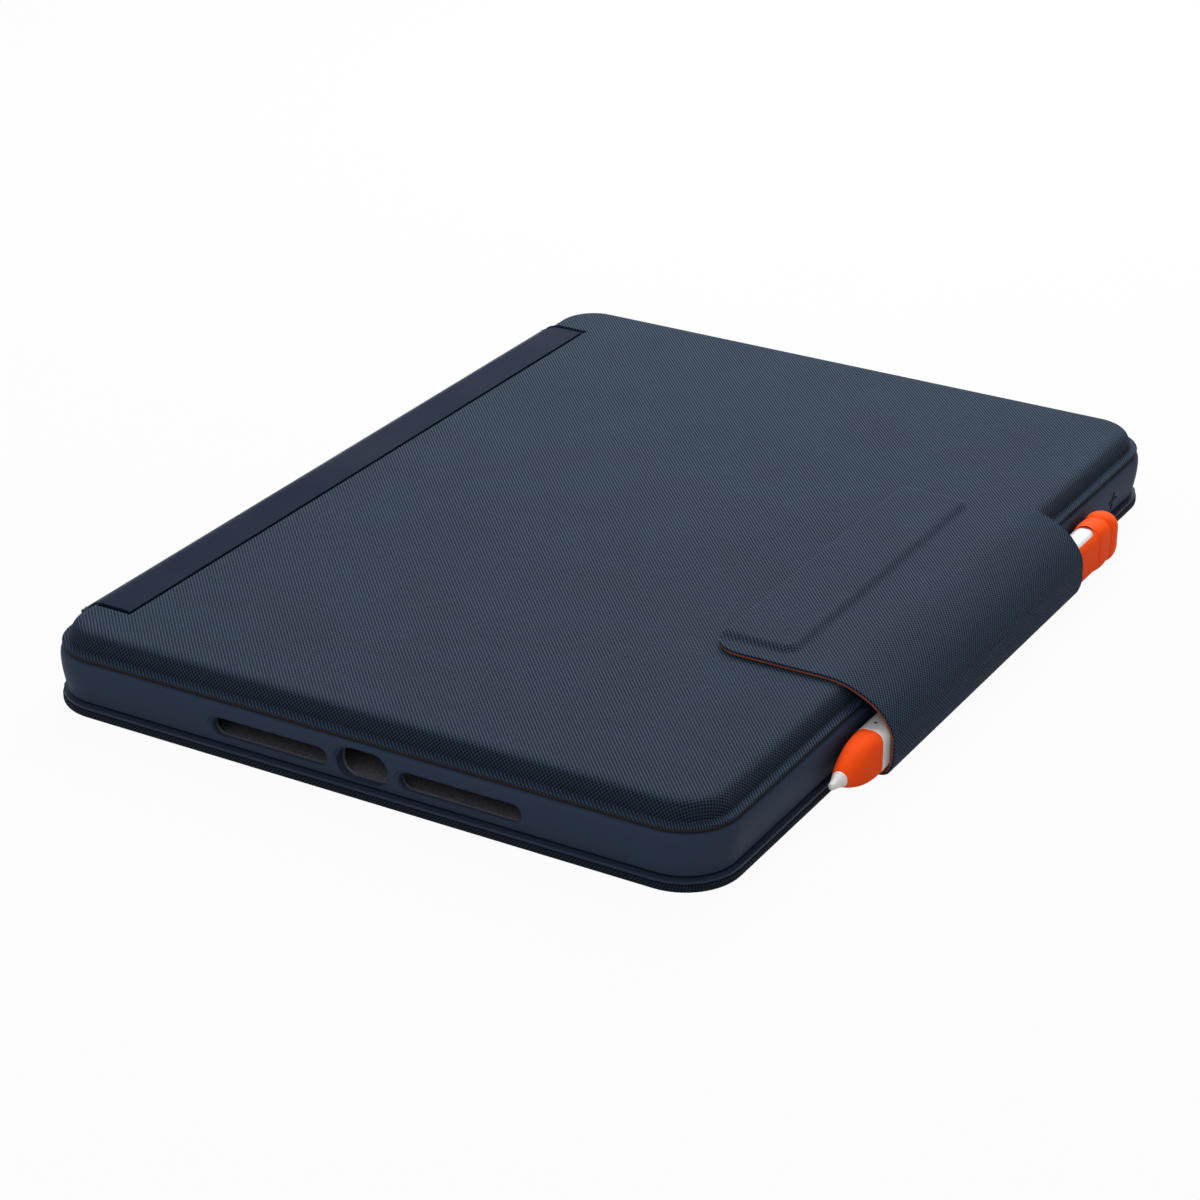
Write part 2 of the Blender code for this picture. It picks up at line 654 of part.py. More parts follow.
# ---------------------------------------------------------------- back panel and kickstand
def panel_outline(inset):
    return case_ring(BACK_HALF_X - inset, BACK_HALF_Y - inset, BACK_CORNER - inset, 0)


def leaf_outline(grow):
    low = STAND_FOLD + STAND_SEAM - grow
    high = BACK_HIGH_Y - STAND_EDGE_MARGIN + grow
    return area_outline(STAND_HALF_LENGTH + grow, low, high, STAND_CORNER + grow)


def hole_outline(grow):
    """The panel's hole: the kickstand's outline grown by the slot, past the fold line."""
    low = STAND_FOLD - STAND_SEAM - grow
    high = BACK_HIGH_Y - STAND_EDGE_MARGIN + STAND_GAP + grow
    return area_outline(STAND_HALF_LENGTH + STAND_GAP + grow, low, high,
                        STAND_CORNER + STAND_GAP + grow)


def area_outline(half_x, low_y, high_y, corner):
    ring = rounded_ring(half_x, (high_y - low_y) / 2, corner, 0)
    return [point + Vector((0, (high_y + low_y) / 2, 0)) for point in ring]


def make_layers(prefix, outlines_at, materials):
    """Fabric pan, stiff board and rubbery edge sheet; outlines_at gives them by inset."""
    pan_height = BACK_THICKNESS - BACK_EDGE - GAP
    rings = []
    for inset, height in ((BACK_ROUND, 0), (0.3 * BACK_ROUND, 0.3 * BACK_ROUND),
                          (0, BACK_ROUND), (0, pan_height)):
        rings.append([Vector((point.x, point.y, height)) for point in outlines_at(inset)[0]])
    fabric = loft(prefix + "_fabric", rings, materials["navy_fabric"])
    hollow = flat_plate(prefix + "_hollow", outlines_at(BACK_FABRIC + GAP), BACK_FABRIC,
                        2 * pan_height, materials["navy_fabric"])
    cut(fabric, hollow)
    for hole in outlines_at(0.0)[1:]:
        cut(fabric, flat_plate(prefix + "_hole", [hole], -BACK_THICKNESS, BACK_THICKNESS,
                               materials["navy_fabric"]))
    board = flat_plate(prefix + "_board", outlines_at(BACK_FABRIC + 2 * GAP),
                       BACK_FABRIC + GAP, pan_height, materials["dark_board"])
    edge = flat_plate(prefix + "_edge", outlines_at(BACK_EDGE_SHRINK),
                      BACK_THICKNESS - BACK_EDGE, BACK_THICKNESS, materials["navy_rubber"])
    return fabric, board, edge


def cut_hinge_seats(layers, side, materials):
    """Recess the fabric and the board round the hinge plates and barrels."""
    fabric, board, _ = layers
    seat_depth = HINGE_LEAF_DEPTH + GAP
    seat_length = HINGE_LENGTH + 2 * GAP
    floor = BACK_FABRIC + GAP
    for x in (-HINGE_PLACE, HINGE_PLACE):
        cut(board, block("board_seat", (seat_length, seat_depth, 2 * BACK_THICKNESS),
                         (x, STAND_FOLD + side * seat_depth / 2, BACK_THICKNESS / 2),
                         materials["dark_board"]))
        cut(fabric, block("fabric_seat",
                          (seat_length, 2 * (STAND_SEAM + BACK_FABRIC + 2 * GAP),
                           2 * BACK_THICKNESS),
                          (x, STAND_FOLD, floor + BACK_THICKNESS), materials["dark_board"]))


def make_stand_hinge(name, x, materials):
    """A three-knuckle hinge: a fixed plate, a moving plate and the pin between them."""
    knuckle = HINGE_LENGTH / 3
    axis_z = BACK_THICKNESS / 2
    axis_y = STAND_FOLD
    pieces = []
    for label, side, centres in (("fixed", -1, (-knuckle, knuckle)), ("moving", 1, (0.0,))):
        barrels = [rod(name + "_barrel", HINGE_BARREL_RADIUS, knuckle - GAP,
                       (x + centre, axis_y, axis_z), "X", materials["steel"], 12)
                   for centre in centres]
        reach = HINGE_LEAF_DEPTH
        tab_start = HINGE_PIN_RADIUS + HINGE_PIN_FIT
        plate = block(f"{name}_{label}_leaf",
                      (HINGE_LENGTH, reach - HINGE_BARREL_RADIUS - GAP, HINGE_LEAF_THICKNESS),
                      (x, axis_y + side * (reach + HINGE_BARREL_RADIUS + GAP) / 2, axis_z),
                      materials["steel"])
        for centre, barrel in zip(centres, barrels):
            tab = block(name + "_tab", (knuckle - GAP, reach / 2 - tab_start,
                                        0.9 * HINGE_LEAF_THICKNESS),
                        (x + centre, axis_y + side * (reach / 2 + tab_start) / 2, axis_z),
                        materials["steel"])
            join(plate, tab)
            join(plate, barrel)
        bore = rod(name + "_bore", HINGE_PIN_RADIUS + HINGE_PIN_FIT, 2 * HINGE_LENGTH,
                   (x, axis_y, axis_z), "X", materials["steel"], 12)
        cut(plate, bore)
        pieces.append(plate)
    pin = rod(name + "_pin", HINGE_PIN_RADIUS, HINGE_LENGTH, (x, axis_y, axis_z), "X",
              materials["steel"], 12)
    return pieces[0], pieces[1], pin


def make_back(materials):
    """Back panel with the kickstand leaf hinged in a hole in it."""
    panel = make_layers("back_panel", lambda inset: [panel_outline(inset), hole_outline(inset)],
                        materials)
    leaf = make_layers("kickstand", lambda inset: [leaf_outline(-inset)], materials)
    cut_hinge_seats(panel, -1, materials)
    cut_hinge_seats(leaf, 1, materials)
    notch = [rounded_ring(NOTCH_LENGTH / 2, NOTCH_REACH, 0.98 * NOTCH_REACH, 0)]
    for layer in panel:
        cut(layer, rod("camera_through", CAMERA_RADIUS, 4 * BACK_THICKNESS,
                       (CAMERA_X, CAMERA_Y, BACK_THICKNESS / 2), "Z", materials["dark_board"],
                       24))
        finger = flat_plate("finger_notch", notch, -BACK_THICKNESS, 2 * BACK_THICKNESS,
                            materials["dark_board"])
        finger.location.y = BACK_HIGH_Y - STAND_EDGE_MARGIN + STAND_GAP
        cut(layer, finger)
    stand_axis = pivot("kickstand_axis", (0, STAND_FOLD, BACK_THICKNESS / 2))
    carry(stand_axis, *leaf)
    for label, x in (("left", -HINGE_PLACE), ("right", HINGE_PLACE)):
        _, moving_leaf, _ = make_stand_hinge("stand_hinge_" + label, x, materials)
        carry(stand_axis, moving_leaf)


# ---------------------------------------------------------------- dock bar and hinge band
def make_dock(materials):
    height = DOCK_BAR_TOP - DOCK_BAR_BOTTOM
    middle_y = DOCK_BAR_INNER + DOCK_BAR_THICKNESS / 2
    middle_z = (DOCK_BAR_TOP + DOCK_BAR_BOTTOM) / 2
    bar = block("dock_bar", (STRIP_LENGTH, DOCK_BAR_THICKNESS, height),
                (STRIP_SHIFT, middle_y, middle_z), materials["navy_rubber"])
    bevel(bar, DOCK_BAR_ROUND)
    for x in (-DOCK_MAGNET_PLACE, DOCK_MAGNET_PLACE):
        depth = DOCK_MAGNET_THICKNESS + GAP
        cut(bar, block("magnet_seat",
                       (DOCK_MAGNET_LENGTH + 2 * GAP, 2 * depth, DOCK_MAGNET_HEIGHT + 2 * GAP),
                       (x, DOCK_BAR_INNER, CONTACT_Z), materials["magnet"]))
        label = "left" if x < 0 else "right"
        magnet = block("dock_magnet_" + label,
                       (DOCK_MAGNET_LENGTH, DOCK_MAGNET_THICKNESS, DOCK_MAGNET_HEIGHT),
                       (x, DOCK_BAR_INNER + DOCK_MAGNET_THICKNESS / 2, CONTACT_Z),
                       materials["magnet"])
        bevel(magnet, SMALL_ROUND, 1)
    base_depth = CONTACT_BASE_THICKNESS + GAP
    base_height = CONTACT_NOSE_HEIGHT + 2 * CONTACT_BASE_THICKNESS
    cut(bar, block("contact_seat",
                   (CONTACT_BASE_LENGTH + 2 * GAP, 2 * base_depth, base_height + 2 * GAP),
                   (0, DOCK_BAR_INNER, CONTACT_Z), materials["black_plastic"]))

    nose_end = TABLET_WIDTH / 2 + TABLET_FIT + PIN_REACH
    base_end = DOCK_BAR_INNER + CONTACT_BASE_THICKNESS
    contact = block("contact_block", (CONTACT_BASE_LENGTH, CONTACT_BASE_THICKNESS, base_height),
                    (0, DOCK_BAR_INNER + CONTACT_BASE_THICKNESS / 2, CONTACT_Z),
                    materials["black_plastic"])
    nose = block("contact_nose",
                 (CONTACT_NOSE_LENGTH, base_end - nose_end - GAP, CONTACT_NOSE_HEIGHT),
                 (0, (base_end - GAP + nose_end) / 2, CONTACT_Z), materials["black_plastic"])
    join(contact, nose)
    pin_length = base_end - nose_end + PIN_REACH - PIN_TRAVEL - GAP
    for number in range(PIN_COUNT):
        x = (number - (PIN_COUNT - 1) / 2) * PIN_PITCH
        cut(contact, rod("pin_bore", PIN_RADIUS + PIN_FIT, 4 * TRAY_SIDE_WALL,
                         (x, base_end, CONTACT_Z), "Y", materials["black_plastic"], 12))
        pin = rod(f"contact_pin_{number + 1}", PIN_RADIUS, pin_length,
                  (x, nose_end - PIN_REACH + pin_length / 2, CONTACT_Z), "Y",
                  materials["gold_contact"], 12)
        bevel(pin, SMALL_ROUND, 1)
        carry(pivot(f"contact_pin_{number + 1}_axis", (x, nose_end, CONTACT_Z)), pin)
    return bar


def make_link(materials):
    """The band's short upright link, round along both hinge lines."""
    outline = rounded_ring(LINK_HALF_THICKNESS, LINK_HEIGHT / 2 + LINK_HALF_THICKNESS,
                           0.98 * LINK_HALF_THICKNESS, 0)
    link = flat_plate("spine_link", [outline], -STRIP_LENGTH / 2, STRIP_LENGTH / 2,
                      materials["navy_rubber"])
    link.rotation_euler = (pi / 2, 0, pi / 2)
    link.location = (STRIP_SHIFT, LINK_Y, SPINE_AXIS_Z + LINK_HEIGHT / 2)
    return smooth(link)


def make_strip(materials):
    """The band's top leaf: flat on the cover, then down over its rolled rim to the link."""
    rim = [(STRIP_INNER_EDGE, COVER_TOP), (COVER_HIGH_Y - RIM_ROLL - RIM_EASE, COVER_TOP)]
    for across, down in COVER_ROLL:
        rim.append((COVER_HIGH_Y - FLANGE_WIDTH - across * COVER_ROLL_DEPTH,
                    COVER_TOP - down * COVER_ROLL_RISE))
    rim = smooth_path(rim, 6)
    link_top = COVER_AXIS_Z + LINK_HALF_THICKNESS + GAP
    end = distance_to(rim, lambda point: point.y < link_top)
    path = beside_path(rim, 0.0, end, STRIP_STEPS, -(GAP + STRIP_THICKNESS))
    strip = sheet_along_x("hinge_strip", path, STRIP_SHIFT - STRIP_LENGTH / 2,
                          STRIP_SHIFT + STRIP_LENGTH / 2, 1, STRIP_THICKNESS,
                          materials["navy_rubber"])
    return smooth(strip)


# ---------------------------------------------------------------- keyboard cover
def cover_ring(inset, height):
    return case_ring(COVER_HALF_X - inset, COVER_HALF_Y - inset, COVER_CORNER - inset, height)


def make_cover_fabric(materials):
    """Outer shell: flat top, rolled rim, narrow flange, and the hollow underneath."""
    flange_top = COVER_BOTTOM + FLANGE_THICKNESS
    rings = [cover_ring(RIM_ROLL + RIM_EASE, COVER_TOP)]
    for across, down in COVER_ROLL:
        rings.append(cover_ring(FLANGE_WIDTH + across * COVER_ROLL_DEPTH,
                                COVER_TOP - down * COVER_ROLL_RISE))
    rings.append(cover_ring(0.85 * FLANGE_WIDTH, flange_top + 0.1 * FLANGE_THICKNESS))
    rings.append(cover_ring(FLANGE_ROUND, flange_top))
    rings.append(cover_ring(0.0, flange_top - FLANGE_ROUND))
    rings.append(cover_ring(0.0, COVER_BOTTOM + FLANGE_ROUND / 2))
    rings.append(cover_ring(FLANGE_ROUND / 2, COVER_BOTTOM))
    inner = FLANGE_WIDTH + COVER_WALL
    hollow_top = COVER_TOP - COVER_WALL
    hollow_rise = hollow_top - COVER_BOTTOM
    rings.append(cover_ring(inner, COVER_BOTTOM))
    for across, down in reversed(COVER_ROLL):
        share = 0.0 if across == 1.0 else down
        rings.append(cover_ring(inner + across * COVER_ROLL_DEPTH,
                                hollow_top - share * hollow_rise))
    shell = loft("cover_fabric", rings, materials["navy_fabric"])
    return smooth(cut(shell, band_recess("link_recess", LINK_INNER, materials)))


def key_rows():
    """Width of each key in pitches, row by row from the hinge side."""
    return ([1.0] * 14, [1.0] * 12 + [2.0], [1.5] + [1.0] * 11 + [1.5],
            [1.75] + [1.0] * 10 + [2.25], [2.25] + [1.0] * 9 + [2.75],
            [1.0, 1.0, 1.0, 1.25, 5.0, 1.25, 1.0, 1.0, 1.5])


def key_places():
    """Middle and size of every key: (x, y, length, depth)."""
    row_width = KEY_ROW_UNITS * KEY_PITCH
    back = SKIN_HALF_Y - KEY_FIELD_BACK
    for number, row in enumerate(key_rows()):
        pitch = FUNCTION_ROW_DEPTH if number == 0 else KEY_ROW_PITCH
        y = back - pitch / 2
        back -= pitch
        x = -row_width / 2
        for width in row:
            length = width * KEY_PITCH
            yield x + length / 2, y, length - KEY_SPACE, pitch - KEY_SPACE
            x += length


def chamfered_ring(x, y, length, depth, chamfer, height):
    ring = []
    for side_x, side_y in ((1, -1), (1, 1), (-1, 1), (-1, -1)):
        near_x = x + side_x * (length / 2 - chamfer)
        near_y = y + side_y * (depth / 2 - chamfer)
        on_end = Vector((x + side_x * length / 2, near_y, height))
        on_side = Vector((near_x, y + side_y * depth / 2, height))
        ring += [on_end, on_side] if side_x * side_y > 0 else [on_side, on_end]
    return ring


def joined_bodies(name, bodies, material):
    """One object from many separate closed bodies, ready for a single union."""
    shape = bmesh.new()
    for body in bodies:
        shape.from_mesh(body.data)
        bpy.data.objects.remove(body)
    mesh = bpy.data.meshes.new(name)
    shape.to_mesh(mesh)
    shape.free()
    return new_object(name, mesh, material)


def make_key_skin(materials):
    """One moulded skin: a sheet with every key standing out of it."""
    skin = flat_plate("key_skin", [skin_outline(0)], SKIN_BOTTOM, SKIN_TOP,
                      materials["navy_rubber"])
    root = SKIN_BOTTOM + KEY_SKIN / 2
    face = SKIN_BOTTOM - KEY_HEIGHT
    keys = []
    for x, y, length, depth in key_places():
        wide = chamfered_ring(x, y, length, depth, KEY_CHAMFER, root)
        narrow = chamfered_ring(x, y, length - 2 * KEY_TAPER, depth - 2 * KEY_TAPER,
                                KEY_CHAMFER - 0.4 * KEY_TAPER, face)
        keys.append(loft("key", [wide, narrow], materials["navy_rubber"]))
    return join(skin, joined_bodies("key_tops", keys, materials["navy_rubber"]))


def skin_outline(grow):
    corner = SKIN_CORNER + grow
    return rounded_ring(SKIN_HALF_X + grow, SKIN_HALF_Y + grow, corner, 0)


def make_dome_sheet(materials):
    """A thin sheet with a collapsing dome over each key."""
    low = DOME_TOP - DOME_SHEET
    sheet = flat_plate("dome_sheet", [skin_outline(-SHEET_INSET)], low, DOME_TOP,
                       materials["dome_rubber"])
    domes = []
    for x, y, _, _ in key_places():
        rings = []
        for radius, height in ((DOME_RADIUS, low + DOME_SHEET / 2),
                               (DOME_RADIUS / 2, low - DOME_HEIGHT)):
            rings.append([Vector((x + radius * cos(pi * i / 2), y + radius * sin(pi * i / 2),
                                  height)) for i in range(4)])
        domes.append(loft("dome", rings, materials["dome_rubber"]))
    return join(sheet, joined_bodies("dome_tops", domes, materials["dome_rubber"]))


def make_keyboard(materials):
    lining = flat_plate("cover_lining",
                        [cover_ring(LINING_INSET, 0), skin_outline(GAP)],
                        LINING_BOTTOM, LINING_TOP, materials["copper_lining"])
    cut(lining, band_recess("lining_recess", LINK_INNER, materials))
    skin = make_key_skin(materials)
    domes = make_dome_sheet(materials)
    circuit = flat_plate("circuit_sheet", [skin_outline(-SHEET_INSET)], CIRCUIT_BOTTOM,
                         CIRCUIT_BOTTOM + CIRCUIT_SHEET, materials["clear_film"])
    plate = flat_plate("keyboard_plate", [skin_outline(PLATE_OVERLAP)], PLATE_BOTTOM,
                       PLATE_BOTTOM + KEYBOARD_PLATE, materials["steel"])
    foam = flat_plate("cover_foam", [rounded_ring(FOAM_HALF_X, FOAM_HALF_Y, SKIN_CORNER, 0)],
                      FOAM_BOTTOM, FOAM_TOP, materials["foam"])

    board_y = STRIP_INNER_EDGE - BOARD_WIDTH
    board_z = FOAM_BOTTOM + BOARD_THICKNESS / 2
    cut(foam, block("board_pocket",
                    (BOARD_LENGTH + 2 * GAP, BOARD_WIDTH + 2 * GAP, 4 * BOARD_THICKNESS),
                    (0, board_y, board_z), materials["foam"]))
    board = block("controller_board", (BOARD_LENGTH, BOARD_WIDTH, BOARD_THICKNESS),
                  (0, board_y, board_z), materials["circuit_green"])
    for share, size_share in ((-0.30, 0.55), (0.02, 0.40), (0.28, 0.33)):
        size = size_share * BOARD_WIDTH
        chip = block("chip", (size, size, 2 * BOARD_THICKNESS),
                     (share * BOARD_LENGTH, board_y, board_z + BOARD_THICKNESS / 2),
                     materials["black_plastic"])
        join(board, chip)
    cable_start = board_y + BOARD_WIDTH / 2 + GAP
    cable_end = FOAM_HALF_Y
    cable_place = (0, (cable_start + cable_end) / 2, FOAM_BOTTOM + CABLE_THICKNESS / 2)
    cable = block("flat_cable", (CABLE_WIDTH, cable_end - cable_start, CABLE_THICKNESS),
                  cable_place, materials["amber_cable"])
    cut(foam, block("cable_groove",
                    (CABLE_WIDTH + 2 * GAP, 2 * (cable_end - cable_start), 4 * CABLE_THICKNESS),
                    (0, cable_end, FOAM_BOTTOM), materials["foam"]))

    latch = flat_plate("latch_plate",
                       [rounded_ring(PLATE_LENGTH / 2, PLATE_DEPTH / 2, PLATE_CORNER, 0)],
                       FOAM_TOP - LATCH_PLATE_THICKNESS, FOAM_TOP, materials["steel"])
    latch.location.x = FLAP_SHIFT
    latch.location.y = PLATE_Y
    seat_depth = LATCH_PLATE_THICKNESS + GAP
    cut(foam, block("latch_seat",
                    (PLATE_LENGTH + 2 * GAP, PLATE_DEPTH + 2 * GAP, 2 * seat_depth),
                    (FLAP_SHIFT, PLATE_Y, FOAM_TOP), materials["foam"]))
    return lining, skin, domes, circuit, plate, foam, board, cable, latch


# ---------------------------------------------------------------- latch flap
def flap_path():
    """Outer face of the flap as (y, z), from its root round the stylus to its tip."""
    out = STYLUS_Y - STYLUS_THICKNESS / 2 - FLAP_THICKNESS - GAP
    reach = STYLUS_WIDTH
    low = STYLUS_HEIGHT - reach / 2
    high = STYLUS_HEIGHT + reach / 2
    edge = -COVER_HALF_Y
    points = ((FLAP_ROOT_Y - GAP / 2, 0.0), (STYLUS_Y + 0.15 * reach, 0.0),
              (STYLUS_Y - 0.10 * reach, 0.0), (out + 0.12 * reach, 0.73 * low),
              (out + 0.01 * reach, low + 0.25 * reach), (out, STYLUS_HEIGHT),
              (out + 0.01 * reach, high - 0.24 * reach), (out + 0.10 * reach, high),
              (out + 0.28 * reach, high + 0.25 * reach),
              (edge - 0.35 * reach, FLAP_TOP - 0.32 * reach),
              (edge - 0.06 * reach, FLAP_TOP - 0.17 * reach),
              (edge + 0.28 * reach, FLAP_TOP - 0.05 * reach),
              (edge + 0.65 * reach, FLAP_TOP), (edge + reach, FLAP_TOP),
              (FLAP_TIP_Y, FLAP_TOP))
    return [Vector((point.x, max(point.y, 0.0))) for point in smooth_path(points, 6)]


def distance_to(path, is_there):
    """Distance along a path to its first point that meets a condition."""
    distance = 0.0
    for a, b in zip(path, path[1:]):
        if is_there(b):
            return distance
        distance += (b - a).length
    return distance


def plate_swell(name, shrink, drop, materials):
    """The raised plate's sloping body; shrunk and lowered it is the hollow beneath."""
    low = FLAP_TOP - FLAP_FABRIC / 2 - drop
    high = FLAP_TOP + PLATE_RISE - min(drop, FLAP_FABRIC)
    rings = []
    for inset, height in ((shrink, low), (PLATE_SLOPE + shrink, high)):
        ring = rounded_ring(PLATE_LENGTH / 2 - inset, PLATE_DEPTH / 2 - inset,
                            PLATE_CORNER - shrink, height)
        rings.append([point + Vector((FLAP_SHIFT, PLATE_Y, 0)) for point in ring])
    return loft(name, rings, materials["navy_fabric"])


def make_flap(materials):
    path = flap_path()
    hinge = distance_to(path, lambda point: point.y > FLAP_HINGE_HEIGHT)
    fold = distance_to(path, lambda point: point.x > -(COVER_HALF_Y + FLAP_FOLD_REACH)
                       and point.y > COVER_BOTTOM)
    spans = (("flap_foot", 0, hinge - GAP / 2, FLAP_FOOT_STEPS),
             ("flap_wall", hinge + GAP / 2, fold - GAP / 2, FLAP_WALL_STEPS),
             ("flap_tip", fold + GAP / 2, path_length(path), FLAP_TIP_STEPS))
    layers = {}
    for name, start, end, steps in spans:
        outer = beside_path(path, start, end, steps, 0.0)
        inner = beside_path(path, start, end, steps, FLAP_FABRIC + GAP)
        for label, line, thickness, material in (("_fabric", outer, FLAP_FABRIC, "navy_fabric"),
                                                 ("_lining", inner, FLAP_LINING,
                                                  "copper_lining")):
            layer = sheet_along_x(name + label, line, FLAP_SHIFT - FLAP_WIDTH / 2,
                                  FLAP_SHIFT + FLAP_WIDTH / 2, 1, thickness,
                                  materials[material])
            layers[name + label] = smooth(layer)
    tip_fabric = layers["flap_tip_fabric"]
    tip_lining = layers["flap_tip_lining"]
    join(tip_fabric, plate_swell("plate_swell", 0.0, 0.0, materials))
    cut(tip_fabric, plate_swell("plate_hollow", FLAP_FABRIC, FLAP_FABRIC + GAP / 2, materials))
    for layer in (tip_fabric, tip_lining):
        boolean(layer, flap_plan(materials), "INTERSECT")

    carrier_low = FLAP_TOP - FLAP_FABRIC + (PLATE_RISE - GAP - CARRIER_THICKNESS) / 2
    half_x = PLATE_LENGTH / 2 - PLATE_SLOPE - FLAP_FABRIC - GAP
    half_y = PLATE_DEPTH / 2 - PLATE_SLOPE - FLAP_FABRIC - GAP
    magnets = []
    windows = []
    for number in range(FLAP_MAGNET_COUNT):
        x = (number - (FLAP_MAGNET_COUNT - 1) / 2) * FLAP_MAGNET_PITCH
        windows.append(x)
        magnet = block(f"flap_magnet_{number + 1}",
                       (FLAP_MAGNET_LENGTH, FLAP_MAGNET_DEPTH, CARRIER_THICKNESS),
                       (FLAP_SHIFT + x, PLATE_Y, carrier_low + CARRIER_THICKNESS / 2),
                       materials["magnet"])
        magnets.append(magnet)
    outlines = [rounded_ring(half_x, half_y, PLATE_CORNER - FLAP_FABRIC, 0)]
    for x in windows:
        hole = rounded_ring(FLAP_MAGNET_LENGTH / 2 + GAP, FLAP_MAGNET_DEPTH / 2 + GAP,
                            SMALL_ROUND, 0)
        outlines.append([(point.x + x, point.y) for point in hole])
    carrier = flat_plate("flap_magnet_carrier", outlines, carrier_low,
                         carrier_low + CARRIER_THICKNESS, materials["black_plastic"])
    carrier.location.x = FLAP_SHIFT
    carrier.location.y = PLATE_Y

    hinge_place = place_along(path, hinge)
    fold_place = place_along(path, fold)
    wall_axis = pivot("flap_wall_axis", (FLAP_SHIFT, *hinge_place))
    tip_axis = pivot("flap_tip_axis", (FLAP_SHIFT, *fold_place), wall_axis)
    carry(wall_axis, layers["flap_wall_fabric"], layers["flap_wall_lining"])
    carry(tip_axis, tip_fabric, tip_lining, carrier, *magnets)


def flap_plan(materials):
    """Upright prism with the flap's plan outline, round at the two tip corners."""
    half_y = (COVER_HALF_Y + FLAP_TIP_Y) / 2 + FLAP_CORNER
    outline = rounded_ring(FLAP_WIDTH / 2, half_y, FLAP_CORNER, 0)
    prism = flat_plate("flap_plan", [outline], 0, 2 * FLAP_TOP, materials["navy_fabric"])
    prism.location.x = FLAP_SHIFT
    prism.location.y = FLAP_TIP_Y - half_y
    return prism


# ---------------------------------------------------------------- stylus
def stylus_ring(x, half_thickness, half_width, corner):
    """Cross-section of the stylus at one place along X."""
    ring = rounded_ring(half_thickness, half_width, corner, 0)
    return [Vector((x, STYLUS_Y + point.x, STYLUS_HEIGHT + point.y)) for point in ring]


def stylus_body(name, low_x, high_x, grow, material):
    half_thickness = STYLUS_THICKNESS / 2 + grow
    half_width = STYLUS_WIDTH / 2 + grow
    rings = [stylus_ring(x, half_thickness, half_width, STYLUS_CORNER + grow)
             for x in (low_x, high_x)]
    return loft(name, rings, material)


def make_barrel(materials):
    sections = ((BARREL_START, 0.0), (CAP_START - GAP, 0.0),
                (CAP_START - GAP, NECK_INSET), (BARREL_END, NECK_INSET))
    rings = [stylus_ring(x, STYLUS_THICKNESS / 2 - inset, STYLUS_WIDTH / 2 - inset,
                         STYLUS_CORNER - inset) for x, inset in sections]
    barrel = loft("stylus_barrel", rings, materials["silver_barrel"])
    slot = block("charge_slot", (2 * CHARGE_SLOT_DEPTH, CHARGE_SLOT_HEIGHT, CHARGE_SLOT_LENGTH),
                 (BARREL_END, STYLUS_Y, STYLUS_HEIGHT), materials["silver_barrel"])
    cut(barrel, bevel(slot, CHARGE_SLOT_HEIGHT / 3))
    seat_y = STYLUS_Y - STYLUS_THICKNESS / 2
    cut(barrel, block("button_seat",
                      (STYLUS_BUTTON_LENGTH + 2 * GAP, 2 * STYLUS_BUTTON_DEPTH + 2 * GAP,
                       STYLUS_BUTTON_WIDTH + 2 * GAP),
                      (STYLUS_BUTTON_X, seat_y, STYLUS_HEIGHT), materials["silver_barrel"]))
    cut(barrel, strap_shape("strap_groove", GAP, 4 * STRAP_SEAT, -STRAP_SEAT,
                            materials["silver_barrel"]))
    button = block("stylus_button",
                   (STYLUS_BUTTON_LENGTH, STYLUS_BUTTON_DEPTH - BUTTON_TRAVEL,
                    STYLUS_BUTTON_WIDTH),
                   (STYLUS_BUTTON_X,
                    seat_y - STYLUS_BUTTON_PROUD + (STYLUS_BUTTON_DEPTH - BUTTON_TRAVEL) / 2,
                    STYLUS_HEIGHT), materials["silver_barrel"])
    bevel(button, SMALL_ROUND, 1)
    return smooth(barrel), button


def make_grip(materials):
    """The soft grip narrows from the barrel's section to a round seat for the nib."""
    rear = BARREL_START - GAP
    nib_seat = rear - GRIP_LENGTH
    half_width = STYLUS_WIDTH / 2
    half_thickness = STYLUS_THICKNESS / 2
    rings = []
    for share in (0.0, 0.16, 0.36, 0.56, 0.75, 0.90, 1.0):
        ease = (1 - share ** 2.1) if share < 1 else 0.0
        wide = NIB_RADIUS + (half_width - NIB_RADIUS) * ease
        thick = NIB_RADIUS + (half_thickness - NIB_RADIUS) * ease ** 0.8
        corner = min(STYLUS_CORNER, 0.98 * thick, 0.98 * wide)
        rings.append(stylus_ring(rear - share * GRIP_LENGTH, thick, wide, corner))
    grip = loft("stylus_grip", rings, materials["orange_rubber"])
    bore_length = NIB_STEM_LENGTH + GAP
    cut(grip, rod("nib_bore", NIB_STEM_RADIUS + GAP, 2 * bore_length,
                  (nib_seat, STYLUS_Y, STYLUS_HEIGHT), "X", materials["orange_rubber"]))
    return smooth(grip)


